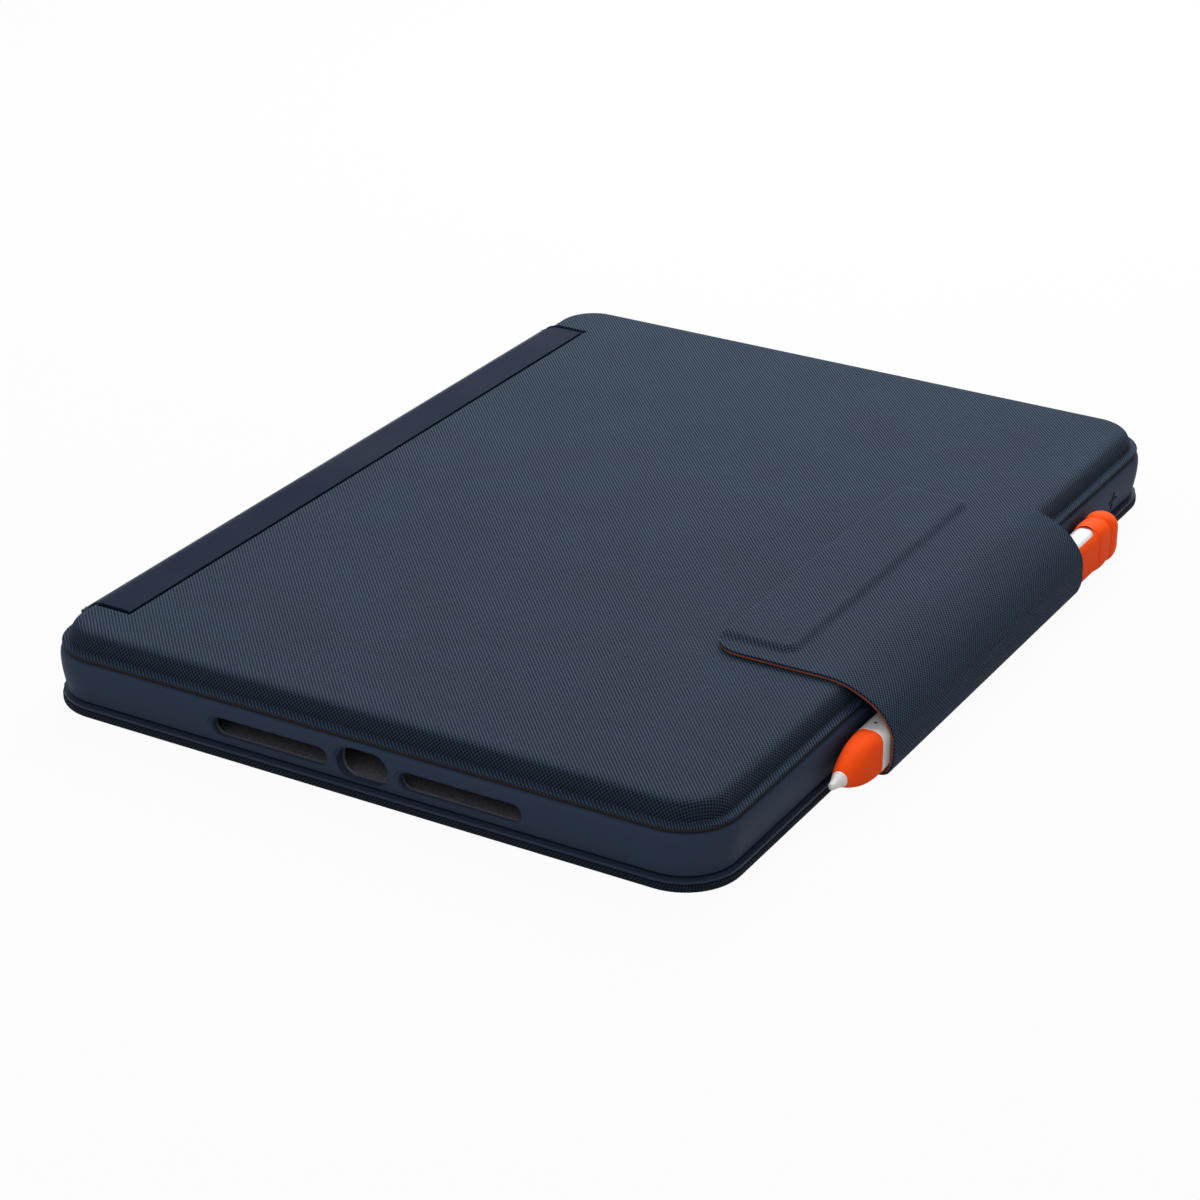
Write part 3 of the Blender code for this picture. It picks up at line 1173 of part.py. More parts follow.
def make_nib(materials):
    """Turned nib: a profile from the tip to the stem's end, spun about the stylus axis."""
    rounding = NIB_TIP_RADIUS
    base = NIB_LENGTH - GAP
    profile = [(0.0, 0.0)]
    for step in range(1, 4):
        angle = radians(90 - 25 * step)
        profile.append((rounding * cos(angle), rounding * (1 - sin(angle))))
    shoulder = NIB_RADIUS - SMALL_ROUND
    profile += [(shoulder, base - 2 * SMALL_ROUND), (shoulder, base),
                (NIB_STEM_RADIUS, base), (NIB_STEM_RADIUS, base + NIB_STEM_LENGTH),
                (0.0, base + NIB_STEM_LENGTH)]
    mesh = bpy.data.meshes.new("stylus_nib")
    shape = bmesh.new()
    points = [shape.verts.new((radius, 0, -along)) for radius, along in profile]
    for a, b in zip(points, points[1:]):
        shape.edges.new((a, b))
    shape.to_mesh(mesh)
    shape.free()
    nib = new_object("stylus_nib", mesh, materials["white_nib"])
    screw = nib.modifiers.new("turned", "SCREW")
    screw.steps = 16
    screw.render_steps = 16
    screw.axis = "Z"
    screw.use_merge_vertices = True
    screw.merge_threshold = 0.00001
    nib.rotation_euler = (0, -pi / 2, 0)
    nib.location = (STYLUS_NIB_END, STYLUS_Y, STYLUS_HEIGHT)
    return smooth(nib)


def strap_shape(name, grow, outer, inner, material):
    """A ring round the barrel with a tongue along each wide face, between two sections."""
    ring_high = CAP_START - GAP
    ring_low = ring_high - STRAP_RING_LENGTH
    tongue_low = ring_low - STRAP_TONGUE_LENGTH
    strap = stylus_body(name, tongue_low - grow, ring_high + grow, outer, material)
    hole = stylus_body(name + "_hole", tongue_low - CAP_LENGTH, ring_high + CAP_LENGTH, inner,
                       material)
    scoop_length = 2 * STRAP_TONGUE_LENGTH
    scoop_half = STYLUS_THICKNESS / 2 - STRAP_HOLD - grow
    outline = rounded_ring(scoop_length / 2 - grow, scoop_half, 0.98 * scoop_half, 0)
    scoop = flat_plate(name + "_scoop", [outline], -2 * STYLUS_WIDTH, 2 * STYLUS_WIDTH, material)
    scoop.location = (ring_low - scoop_length / 2, STYLUS_Y, STYLUS_HEIGHT)
    cut(strap, hole)
    cut(strap, scoop)
    return strap


def make_strap(materials):
    """The cap's strap, which lies in a groove in the barrel."""
    return strap_shape("stylus_strap", 0.0, STRAP_PROUD, GAP - STRAP_SEAT,
                       materials["orange_rubber"])


def make_cap(materials):
    """The end cap: a rounded rubber thimble over the barrel's charging end."""
    half_width = STYLUS_WIDTH / 2 + CAP_PROUD
    half_thickness = STYLUS_THICKNESS / 2 + CAP_PROUD
    sections = [(0.0, CAP_PROUD / 2), (CAP_PROUD / 2 / CAP_LENGTH, 0.0)]
    for step in range(6):
        angle = radians(18 * step)
        sections.append((0.5 + 0.5 * sin(angle), 0.8 * half_thickness * (1 - cos(angle))))
    rings = []
    for share, shrink in sections:
        corner = min(STYLUS_CORNER + CAP_PROUD, 0.98 * (half_thickness - shrink))
        rings.append(stylus_ring(CAP_START + share * CAP_LENGTH, half_thickness - shrink,
                                 half_width - shrink, corner))
    cap = loft("stylus_cap", rings, materials["orange_rubber"])
    cut(cap, stylus_body("cap_hollow", CAP_START - CAP_DEPTH, BARREL_END + GAP,
                         GAP - NECK_INSET, materials["orange_rubber"]))
    return smooth(cap)


def make_stylus(materials):
    axis = pivot("stylus_axis", (0, STYLUS_Y, STYLUS_HEIGHT))
    barrel, button = make_barrel(materials)
    carry(axis, barrel, make_grip(materials), make_nib(materials), make_strap(materials))
    carry(pivot("stylus_cap_axis", (CAP_START, STYLUS_Y, STYLUS_HEIGHT), axis),
          make_cap(materials))
    carry(pivot("stylus_button_axis", (STYLUS_BUTTON_X, STYLUS_Y, STYLUS_HEIGHT), axis), button)


# ---------------------------------------------------------------- assembly
def clear_scene():
    for item in list(bpy.data.objects):
        bpy.data.objects.remove(item)


def new_collection(name):
    collection = bpy.data.collections.new(name)
    bpy.context.scene.collection.children.link(collection)
    return collection


clear_scene()
PARTS = new_collection("tablet_keyboard_case")
CUTTERS = new_collection("cutters")


def build():
    materials = make_materials()
    make_tray(materials)
    make_button("volume_up_button", True, materials)
    make_button("volume_down_button", False, materials)
    make_power_button(materials)
    make_back(materials)
    make_dock(materials)

    spine_axis = pivot("spine_axis", (STRIP_SHIFT, LINK_Y, SPINE_AXIS_Z))
    cover_axis = pivot("cover_axis", (STRIP_SHIFT, LINK_Y, COVER_AXIS_Z), spine_axis)
    carry(spine_axis, make_link(materials))
    carry(cover_axis, make_cover_fabric(materials), make_strip(materials),
          *make_keyboard(materials))
    make_flap(materials)
    make_stylus(materials)


build()
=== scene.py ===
# %% [markdown]
# # A tablet keyboard case
#
# The case is a moulded rubber tray that holds a tablet, with a kickstand in its back panel and
# a cloth-covered keyboard cover hinged along its far edge. A cloth flap comes from under the
# tray, goes round a stylus and holds the cover shut with magnets.
#
# The solids of the case are already packed as a frame, and this lesson dresses them: pieces of
# cloth are rebuilt, and every surface gets a finish made from shader maths.

from collections import namedtuple
from math import cos, hypot, pi, radians, sin, sqrt

import bmesh
import bpy
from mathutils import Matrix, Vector


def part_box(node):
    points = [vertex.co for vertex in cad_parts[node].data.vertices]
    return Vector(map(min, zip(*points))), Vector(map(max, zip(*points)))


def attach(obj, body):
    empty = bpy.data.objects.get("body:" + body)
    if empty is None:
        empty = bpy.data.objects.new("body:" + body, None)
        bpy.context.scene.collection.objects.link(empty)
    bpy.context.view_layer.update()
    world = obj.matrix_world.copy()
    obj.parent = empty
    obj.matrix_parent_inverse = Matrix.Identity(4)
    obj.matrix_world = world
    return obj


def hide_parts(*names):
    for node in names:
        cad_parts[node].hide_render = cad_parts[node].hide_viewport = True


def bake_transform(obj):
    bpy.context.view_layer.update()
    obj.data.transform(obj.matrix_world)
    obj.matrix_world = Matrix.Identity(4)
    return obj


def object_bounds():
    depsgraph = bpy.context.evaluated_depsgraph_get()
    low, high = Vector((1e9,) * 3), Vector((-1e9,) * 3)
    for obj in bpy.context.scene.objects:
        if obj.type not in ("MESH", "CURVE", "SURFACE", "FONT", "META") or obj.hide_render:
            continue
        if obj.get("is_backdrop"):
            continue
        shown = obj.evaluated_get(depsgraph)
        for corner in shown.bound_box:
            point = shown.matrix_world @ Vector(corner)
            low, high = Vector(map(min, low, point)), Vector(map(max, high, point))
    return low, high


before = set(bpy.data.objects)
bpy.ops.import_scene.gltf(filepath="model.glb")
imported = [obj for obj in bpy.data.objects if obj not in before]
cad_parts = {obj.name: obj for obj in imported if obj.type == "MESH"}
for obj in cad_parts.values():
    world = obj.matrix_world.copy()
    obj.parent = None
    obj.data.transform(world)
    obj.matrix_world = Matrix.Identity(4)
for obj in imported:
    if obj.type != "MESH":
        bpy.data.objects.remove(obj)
solid_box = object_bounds()

# %% [markdown]
# ## Camera, floor and light
#
# A product like this is shown on a white sweep under large soft lamps. The camera looks at a
# short end of the case from about 26 degrees above the table, through a long lens, so that
# parallel edges stay nearly parallel.

# %% Place the camera
MM = 0.001
LENS = 98.0
AZIMUTH = -59.6
ELEVATION = 26.1
CAMERA_DISTANCE = 0.8589
NEAREST_SEEN = 10 * MM
AIM = Vector((-0.0092, 0.0061, 0.0))


def towards(azimuth, elevation):
    """The direction from the object to a viewer at these angles, in degrees."""
    turn = radians(azimuth)
    rise = radians(elevation)
    return Vector((sin(turn) * cos(rise), -cos(turn) * cos(rise), sin(rise)))


camera_data = bpy.data.cameras.new("camera")
camera_data.lens = LENS
camera_data.clip_start = NEAREST_SEEN
camera = bpy.data.objects.new("camera", camera_data)
bpy.context.scene.collection.objects.link(camera)
to_camera = towards(AZIMUTH, ELEVATION)
camera.location = AIM + CAMERA_DISTANCE * to_camera
camera.rotation_euler = to_camera.to_track_quat("Z", "Y").to_euler()
bpy.context.scene.camera = camera
print("camera at", [round(value, 4) for value in camera.location])

# %% [markdown]
# ## Shader maths in Python
#
# A procedural finish is mostly sums: distances, waves and blends. Written as nodes one by one
# they are hard to read, so a small class wraps a socket and turns Python sums into Math nodes.


# %% Sums on sockets
class Wire:
    """An output of a shader tree that can be used in Python sums."""

    def __init__(self, bench, socket):
        self.bench = bench
        self.socket = socket

    def math(self, operation, *others, clamp=False):
        settings = {"operation": operation, "use_clamp": clamp}
        return self.bench.node("ShaderNodeMath", settings, [self, *others])

    def __add__(self, other):
        return self.math("ADD", other)

    def __radd__(self, other):
        return self.math("ADD", other)

    def __sub__(self, other):
        return self.math("SUBTRACT", other)

    def __rsub__(self, other):
        return self.bench.node("ShaderNodeMath", {"operation": "SUBTRACT"}, [other, self])

    def __mul__(self, other):
        return self.math("MULTIPLY", other)

    def __rmul__(self, other):
        return self.math("MULTIPLY", other)

    def wave(self):
        return self.math("COSINE")

    def clipped(self):
        """This value, kept between 0 and 1."""
        return self.math("ADD", 0.0, clamp=True)

    def ramp(self, low, high, start=0.0, end=1.0):
        """Goes smoothly from start to end while this value goes from low to high."""
        settings = {"interpolation_type": "SMOOTHSTEP"}
        values = {"Value": self, "From Min": low, "From Max": high, "To Min": start,
                  "To Max": end}
        return self.bench.node("ShaderNodeMapRange", settings, values)


class Bench:
    """The shader tree of a material or of the world."""

    def __init__(self, owner):
        owner.use_nodes = True
        self.owner = owner
        self.tree = owner.node_tree
        self.tree.nodes.clear()

    def node(self, kind, settings=None, values=None, output=0):
        """Adds a node, its settings first and then its sockets, and gives one output."""
        node = self.tree.nodes.new(kind)
        for key, value in (settings or {}).items():
            setattr(node, key, value)
        pairs = values.items() if isinstance(values, dict) else enumerate(values or [])
        for key, value in pairs:
            if isinstance(value, Wire):
                self.tree.links.new(value.socket, node.inputs[key])
            else:
                node.inputs[key].default_value = value
        if not node.outputs:
            return node
        return Wire(self, node.outputs[output])

    def blend(self, factor, first, second):
        """A colour between two colours."""
        settings = {"data_type": "RGBA"}
        values = {0: factor, 6: self.colour(first), 7: self.colour(second)}
        return self.node("ShaderNodeMix", settings, values, output=2)

    def colour(self, value):
        """A plain colour gets its alpha; a wire is already complete."""
        return value if isinstance(value, Wire) else (*value, 1.0)

    def place(self, scale=1.0, uv=None):
        """Object coordinates, or a UV map, multiplied by a scale."""
        if uv:
            source = self.node("ShaderNodeUVMap", {"uv_map": uv})
        else:
            source = self.node("ShaderNodeTexCoord", output="Object")
        return self.node("ShaderNodeVectorMath", {"operation": "SCALE"},
                         {"Vector": source, "Scale": scale})

    def split(self, vector):
        """The three parts of a vector, as wires."""
        parts = self.node("ShaderNodeSeparateXYZ", None, [vector])
        return [Wire(self, socket) for socket in parts.socket.node.outputs]

    def noise(self, place, scale, detail=2.0):
        values = {"Vector": place, "Scale": scale, "Detail": detail}
        return self.node("ShaderNodeTexNoise", None, values)

    def bump(self, height, depth):
        """A normal bent by a height; depth is the height of 1, in metres."""
        values = {"Height": height, "Strength": 1.0, "Distance": depth}
        return self.node("ShaderNodeBump", None, values)

    def finish(self, base, roughness, **sockets):
        """Ends the tree in one Principled shader."""
        values = {"Base Color": self.colour(base), "Roughness": roughness}
        values.update({name.replace("_", " "): value for name, value in sockets.items()})
        shader = self.node("ShaderNodeBsdfPrincipled", None, values)
        self.node("ShaderNodeOutputMaterial", None, {"Surface": shader})
        return self.owner


def bench_for(name):
    """The bench of a new material."""
    return Bench(bpy.data.materials.new(name))


def linear(red, green, blue):
    """A colour picked on a screen, 0 to 255, as the light that it stands for."""
    shares = [value / 255 for value in (red, green, blue)]
    return tuple(s / 12.92 if s <= 0.04045 else ((s + 0.055) / 1.055) ** 2.4 for s in shares)


def shade(colour, share):
    """A plain colour with this share of its light."""
    return tuple(share * value for value in colour)


print("a middle grey on a screen is", round(linear(128, 128, 128)[0], 3), "of full light")


# %% Lay the floor
FLOOR_SIZE = 6.0
FLOOR_HEIGHT = -0.05 * MM
FLOOR_SHINE = 0.955
PAPER_TONES = (0.48, 0.52)


def flat_square(name, size, height):
    mesh = bpy.data.meshes.new(name)
    half = size / 2
    corners = [(-half, -half, height), (half, -half, height), (half, half, height),
               (-half, half, height)]
    mesh.from_pydata(corners, [], [(0, 1, 2, 3)])
    item = bpy.data.objects.new(name, mesh)
    bpy.context.scene.collection.objects.link(item)
    return item


def seen_directly(bench):
    """1 where a ray comes from the camera, a mirror or glass, and 0 for the light itself."""
    light_path = bench.node("ShaderNodeLightPath").socket.node
    seen = Wire(bench, light_path.outputs["Is Camera Ray"])
    for name in ("Is Glossy Ray", "Is Transmission Ray"):
        seen = seen.math("MAXIMUM", Wire(bench, light_path.outputs[name]))
    return seen


def make_floor_finish():
    """White paper: mostly self-white for the viewer, with the object's shadow kept in it."""
    bench = bench_for("floor_paper")
    grain = bench.noise(bench.place(), scale=40.0)
    dark, light = [(tone, tone, tone) for tone in PAPER_TONES]
    paper = bench.node("ShaderNodeBsdfDiffuse", None, {"Color": bench.blend(grain, dark, light)})
    white = bench.node("ShaderNodeEmission", None, {"Color": (1, 1, 1, 1), "Strength": 1.0})
    share = seen_directly(bench) * FLOOR_SHINE
    mixed = bench.node("ShaderNodeMixShader", None, [share, paper, white])
    bench.node("ShaderNodeOutputMaterial", None, {"Surface": mixed})
    return bench.owner


floor = flat_square("floor", FLOOR_SIZE, FLOOR_HEIGHT)
floor.data.materials.append(make_floor_finish())
floor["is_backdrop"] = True
print("floor:", FLOOR_SIZE, "m square")

# %% Light the room
WORLD_LIGHT = 0.46


def make_world():
    """An even white room that looks white and lights the object more weakly."""
    world = bpy.data.worlds.new("room")
    bpy.context.scene.world = world
    bench = Bench(world)
    seen = seen_directly(bench)
    values = {"Color": (1, 1, 1, 1), "Strength": WORLD_LIGHT + seen * (1 - WORLD_LIGHT)}
    light = bench.node("ShaderNodeBackground", None, values)
    bench.node("ShaderNodeOutputWorld", None, {"Surface": light})


def add_lamp(name, azimuth, elevation, distance, size, power):
    """A square soft lamp that faces the object."""
    lamp_data = bpy.data.lights.new(name, "AREA")
    lamp_data.shape = "SQUARE"
    lamp_data.size = size
    lamp_data.energy = power
    lamp = bpy.data.objects.new(name, lamp_data)
    direction = towards(azimuth, elevation)
    lamp.location = distance * direction
    lamp.rotation_euler = direction.to_track_quat("Z", "Y").to_euler()
    bpy.context.scene.collection.objects.link(lamp)


bpy.context.scene.view_settings.view_transform = "Standard"
make_world()
add_lamp("key_lamp", azimuth=108.0, elevation=46.0, distance=0.72, size=0.5, power=6.0)
add_lamp("side_lamp", azimuth=-80.0, elevation=42.0, distance=1.5, size=0.8, power=5.0)
print("lamps and floor are in place")

# %% [markdown]
# ## Plans, rings and lofts
#
# Most pieces of the case are rounded rectangles stacked on each other. A plan is such a
# rectangle seen from above, a ring is its outline at one height, and a loft joins rings into a
# closed surface. Every loft also gets a UV map that unrolls it flat, in metres, so that a weave
# follows the cloth over an edge instead of being projected through it.

# %% Plans and rings
Plan = namedtuple("Plan", "low_x high_x low_y high_y corner")
WEAVE = "weave"
CORNER_STEPS = 16
SMALLEST_CORNER = 0.2 * MM


def ring_points(plan, inset=0.0):
    """A rounded rectangle this far inside a plan, anticlockwise, as (x, y) points."""
    corner = max(plan.corner - inset, SMALLEST_CORNER)
    left = plan.low_x + inset + corner
    right = plan.high_x - inset - corner
    front = plan.low_y + inset + corner
    back = plan.high_y - inset - corner
    points = []
    for x, y, start in ((right, back, 0.0), (left, back, 0.5), (left, front, 1.0),
                        (right, front, 1.5)):
        for step in range(CORNER_STEPS + 1):
            angle = pi * (start + 0.5 * step / CORNER_STEPS)
            points.append((x + corner * cos(angle), y + corner * sin(angle)))
    return points


def centred_plan(half_x, half_y, corner, x=0.0, y=0.0):
    return Plan(x - half_x, x + half_x, y - half_y, y + half_y, corner)


def plan_of(node, corner):
    """The plan of a solid, from its box."""
    low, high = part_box(node)
    return Plan(low.x, high.x, low.y, high.y, corner)


print("points round a plan:", len(ring_points(centred_plan(1.0, 1.0, 0.1))))


# %% Lofts
CIRCLE_STEPS = 48


def new_piece(name, mesh):
    item = bpy.data.objects.new(name, mesh)
    bpy.context.scene.collection.objects.link(item)
    return item


def mesh_of(name, shape):
    mesh = bpy.data.meshes.new(name)
    shape.to_mesh(mesh)
    shape.free()
    return mesh


def loft(name, rings, flats=None, ends="capped"):
    """A closed surface through rings of points; flats are the same rings laid out flat.

    The first and last rings are capped, or joined to each other to make a frame.
    """
    shape = bmesh.new()
    layer = shape.loops.layers.uv.new(WEAVE)
    rows = [[shape.verts.new(point) for point in ring] for ring in rings]
    flats = flats or [[point[:2] for point in ring] for ring in rings]
    count = len(rows[0])
    steps = len(rows) if ends == "joined" else len(rows) - 1
    for k in range(steps):
        after = (k + 1) % len(rows)
        for i in range(count):
            j = (i + 1) % count
            face = shape.faces.new((rows[k][i], rows[k][j], rows[after][j], rows[after][i]))
            places = (flats[k][i], flats[k][j], flats[after][j], flats[after][i])
            for loop, place in zip(face.loops, places):
                loop[layer].uv = place
    if ends == "capped":
        for row, flat in ((rows[0], flats[0]), (rows[-1], flats[-1])):
            face = shape.faces.new(row)
            for loop, place in zip(face.loops, flat):
                loop[layer].uv = place
    bmesh.ops.recalc_face_normals(shape, faces=shape.faces)
    return new_piece(name, mesh_of(name, shape))


def stack(name, levels, ends="capped"):
    """A loft of rounded rectangles; each level is a plan, its inset and its height.

    Laid out flat, every ring grows outwards by the path's own length from the first ring.
    """
    rings = []
    flats = []
    travelled = 0.0
    first_plan, first_inset, _ = levels[0]
    for k, (plan, inset, height) in enumerate(levels):
        if k:
            before_plan, before_inset, before_height = levels[k - 1]
            across = (plan.high_x - inset) - (before_plan.high_x - before_inset)
            travelled += hypot(across, height - before_height)
        rings.append([(x, y, height) for x, y in ring_points(plan, inset)])
        flats.append(ring_points(first_plan, first_inset - travelled))
    return loft(name, rings, flats, ends)


def prism(name, outline, low, high, axis="Z"):
    """A straight body over an outline of two coordinates, along Z or X."""
    def ring(along):
        if axis == "X":
            return [(along, y, z) for y, z in outline]
        return [(x, y, along) for x, y in outline]

    return loft(name, [ring(low), ring(high)])


def box_between(name, low, high):
    outline = [(low[0], low[1]), (high[0], low[1]), (high[0], high[1]), (low[0], high[1])]
    return prism(name, outline, low[2], high[2])


def circle(x, y, radius):
    angles = [2 * pi * step / CIRCLE_STEPS for step in range(CIRCLE_STEPS)]
    return [(x + radius * cos(angle), y + radius * sin(angle)) for angle in angles]


print("a round hole has", CIRCLE_STEPS, "sides")

# %% [markdown]
# Openings are cut with booleans: a tool is made as a closed body, and the piece is left without
# it. The exact solver is slow but keeps the cut edges clean. The modifier is settled at once, so
# that every finished piece is a plain mesh with its place in its own points.

# %% Cut, smooth and dress a piece


def settle(item):
    """Turns a piece with modifiers into a plain mesh."""
    graph = bpy.context.evaluated_depsgraph_get()
    mesh = bpy.data.meshes.new_from_object(item.evaluated_get(graph))
    item.modifiers.clear()
    item.data = mesh
    return item


def carve(item, *tools, operation="DIFFERENCE"):
    """Cuts, joins or crosses a piece with tools, which are then thrown away."""
    for tool in tools:
        modifier = item.modifiers.new("carve", "BOOLEAN")
        modifier.operation = operation
        modifier.object = tool
        modifier.solver = "EXACT"
    settle(item)
    for tool in tools:
        bpy.data.objects.remove(tool)
    return item


def curve_through(points, steps):
    """A smooth curve through points, as a list of tuples."""
    curve = []
    for i in range(len(points) - 1):
        before = Vector(points[max(i - 1, 0)])
        start = Vector(points[i])
        end = Vector(points[i + 1])
        after = Vector(points[min(i + 2, len(points) - 1)])
        for step in range(steps):
            t = step / steps
            curve.append(tuple(0.5 * (2 * start + (end - before) * t
                                      + (2 * before - 5 * start + 4 * end - after) * t ** 2
                                      + (3 * start - before - 3 * end + after) * t ** 3)))
    curve.append(tuple(points[-1]))
    return curve


def smooth(item, angle):
    """Smooth shading, with sharp edges where faces meet at more than this angle."""
    item.data.shade_smooth()
    item.data.set_sharp_from_angle(angle=radians(angle))
    return item


def dress(item, finish, body=None, instead_of=(), angle=40.0):
    """Gives a finished mesh its material, its body and the solids that it stands for."""
    item.data.materials.clear()
    item.data.materials.append(finish)
    smooth(item, angle)
    if body:
        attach(item, body)
    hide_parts(*instead_of)
    print(item.name, len(item.data.polygons), "faces")
    return item


# %% [markdown]
# ## Woven cloth
#
# The cover, the back and the flap wear the same woven polyester: a tight weave of coarse yarn
# with small staggered pits between the threads. A picture of cloth could be wrapped round them,
# or every thread modelled. Two crossing waves over the cloth's own flat map give the same
# threads at any distance, and cost nothing to change, so the weave is made from them.

# %% Weave
COARSE = 1 / MM
TURN = 2 * pi
THREADS_ACROSS = 0.875
THREADS_ALONG = 0.952
THREAD_WOBBLE = 0.02
CLOSED_WEAVE = (0.35, 0.15)
OPEN_WEAVE = (0.25, 0.25)
PIT_DEPTH = 0.12 * MM
# The light colour is the yarn; the dark one is painted shade in the pits between the threads.
CLOTH_LIGHT = linear(54, 72, 94)
CLOTH_PIT_SHADE = linear(3, 5, 9)


def weave_waves(bench, flat):
    """The two diagonal waves of the threads, in rows per millimetre, each from -1 to 1."""
    across, along = bench.split(flat)[:2]
    wobble = bench.noise(flat, scale=0.35) * THREAD_WOBBLE
    rows = (across * THREADS_ACROSS + wobble) * TURN
    columns = (along * THREADS_ALONG - wobble) * TURN
    return (rows - columns + pi / 2).wave(), (rows + columns + pi / 2).wave()


def thread_height(waves, shares):
    """The height of the threads, from 0 to 1, for these shares of the two waves."""
    leaning, crossing = waves
    return leaning * shares[0] - crossing * shares[1] + 0.5


def rim_shade_mask(bench, top, flange):
    """1 where shade is painted on a cover's rolled rim, between its flat top and its flange, and 0
    elsewhere.
    """
    height = bench.split(bench.place(COARSE))[2] * MM
    return (height.ramp(top - 1.0 * MM, top - 0.1 * MM, 1.0, 0.0)
            * height.ramp(flange, flange + 0.5 * MM))


def make_cloth_finish(name, light, dark, rim=None):
    """Threads over and under each other, with a pit at each crossing; the pits are painted dark as
    shade.

    A rim, given as the heights of a cover's top and of its flange, is pulled tighter, so its weave
    opens up; its pits are also painted darker there, as shade on the rolled rim and in the band's
    groove.
    """
    bench = bench_for(name)
    flat = bench.place(COARSE, WEAVE)
    waves = weave_waves(bench, flat)
    lift = thread_height(waves, CLOSED_WEAVE)
    fuzz = bench.noise(flat, scale=3.0)
    mottle = bench.noise(flat, scale=0.04, detail=3.0)
    tone = lift.math("POWER", 1.5) + fuzz * 0.12 + mottle * 0.14 - 0.10
    # Painted shade: on the rim the open pits are held to a dark tone.
    if rim:
        shaded_holes = thread_height(waves, OPEN_WEAVE).ramp(0.30, 0.62) * 0.46
        tone = tone + (shaded_holes - tone) * rim_shade_mask(bench, *rim)
    colour = bench.blend(tone.clipped(), dark, light)
    return bench.finish(colour, lift.ramp(0.0, 1.0, 0.92, 0.74),
                        Normal=bench.bump(lift, PIT_DEPTH), Sheen_Weight=0.02,
                        Sheen_Roughness=0.5, Sheen_Tint=(0.45, 0.55, 0.75, 1.0),
                        Specular_IOR_Level=0.1)


cover_low, cover_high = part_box("cover_fabric")
FLANGE_THICKNESS = 0.8 * MM
navy_cloth = make_cloth_finish("navy_cloth", CLOTH_LIGHT, CLOTH_PIT_SHADE)
shaded_rim_cloth = make_cloth_finish("shaded_rim_cloth", CLOTH_LIGHT, CLOTH_PIT_SHADE,
                              (cover_high.z, cover_low.z + FLANGE_THICKNESS))
# The back wears the same cloth as the cover; its darker yarn colour is painted shade near the
# table.
back_weave_shaded = make_cloth_finish("back_weave_shaded", linear(30, 40, 54), CLOTH_PIT_SHADE)
print("threads per cm:", round(10 * THREADS_ACROSS, 2), "across,", round(10 * THREADS_ALONG, 2),
      "along")

# %% [markdown]
# ## Microfibre
#
# The flap and the cover are lined with a microfibre that has no visible weave. Hair could be
# grown on them, but the fibres are shorter than a tenth of a millimetre, so even noise in
# the colour and in the bump shows all that the eye can see.

# %% Felted linings
FIBRE_SCALE = 2.2


def felt_tone(bench, colour):
    """The colour of short even fibres, and the fibres' height."""
    fibre = bench.noise(bench.place(COARSE), FIBRE_SCALE)
    return bench.blend(fibre.ramp(0.35, 0.65), shade(colour, 0.6), colour), fibre


def make_felt_finish(name, colour):
    """Microfibre: very matt, with no direction in it."""
    bench = bench_for(name)
    tone, fibre = felt_tone(bench, colour)
    return bench.finish(tone, fibre.ramp(0.3, 0.7, 0.86, 0.96),
                        Normal=bench.bump(fibre, 0.03 * MM), Specular_IOR_Level=0.1)


lining_cloth = make_felt_finish("lining_microfibre", linear(146, 80, 55))
# The cover's lining is the same microfibre as the flap's, painted darker as the shade under the
# cover.
shaded_lining = make_felt_finish("lining_microfibre_shaded", linear(52, 45, 39))
print("linings:", lining_cloth.name, "and", shaded_lining.name)

# %% [markdown]
# ## Moulded rubber
#
# The tray, the hinge band and the stylus's soft ends come out of moulds. Such rubber is matt and
# nearly even: its tone drifts a little over centimetres, and a fine grain breaks up its shine.
# The same sums also serve the plastics and the hidden layers, with other grains and colours.


# %% Matt rubber
def rubber_tone(bench, colour, grain, lines=0.0):
    """A slightly uneven colour, its slow drift, and the normal of a fine moulded grain.

    Lines, above 0, add faint marks drawn out along the sides.
    """
    place = bench.place(COARSE)
    fine = bench.noise(place, scale=4.0)
    broad = bench.noise(place, scale=0.03, detail=3.0)
    tone = bench.blend(broad * 0.7 + fine * 0.3, shade(colour, 0.84), shade(colour, 1.14))
    height = fine
    if lines:
        drawn = bench.node("ShaderNodeVectorMath", {"operation": "MULTIPLY"},
                           [place, (0.06, 0.06, 7.0)])
        height = fine + bench.noise(drawn, scale=1.0, detail=3.0) * lines
    return tone, broad, bench.bump(height, grain)


def make_rubber_finish(name, colour, roughness=0.55, grain=0.03 * MM, shine=0.3):
    """Moulded rubber or plastic: rougher and less shiny where its tone is lighter."""
    bench = bench_for(name)
    tone, broad, normal = rubber_tone(bench, colour, grain)
    return bench.finish(tone, broad.ramp(0.2, 0.8, roughness - 0.05, roughness + 0.07),
                        Normal=normal, Specular_IOR_Level=shine)


navy_rubber = make_rubber_finish("moulded_rubber", linear(40, 50, 68), shine=0.12)
band_rubber = make_rubber_finish("band_rubber", linear(18, 28, 46), 0.72, shine=0.05)
key_rubber = make_rubber_finish("key_rubber", linear(36, 44, 60), 0.6, 0.02 * MM)
orange_rubber = make_rubber_finish("orange_silicone", linear(255, 82, 18), 0.6, 0.01 * MM,
                                   shine=0.06)
print("rubbers:", navy_rubber.name, band_rubber.name, key_rubber.name, orange_rubber.name)

# %% [markdown]
# ## Tray rubber
#
# The tray is one moulding with three looks: plain rubber, a plus or minus sign on the two
# volume buttons, painted dark as the shade of its raised strokes, and a felt pocket. Separate
# materials would need the mesh cut along their edges. Masks made from distances in the finish do
# the same with one material, so the pieces of the tray stay whole.

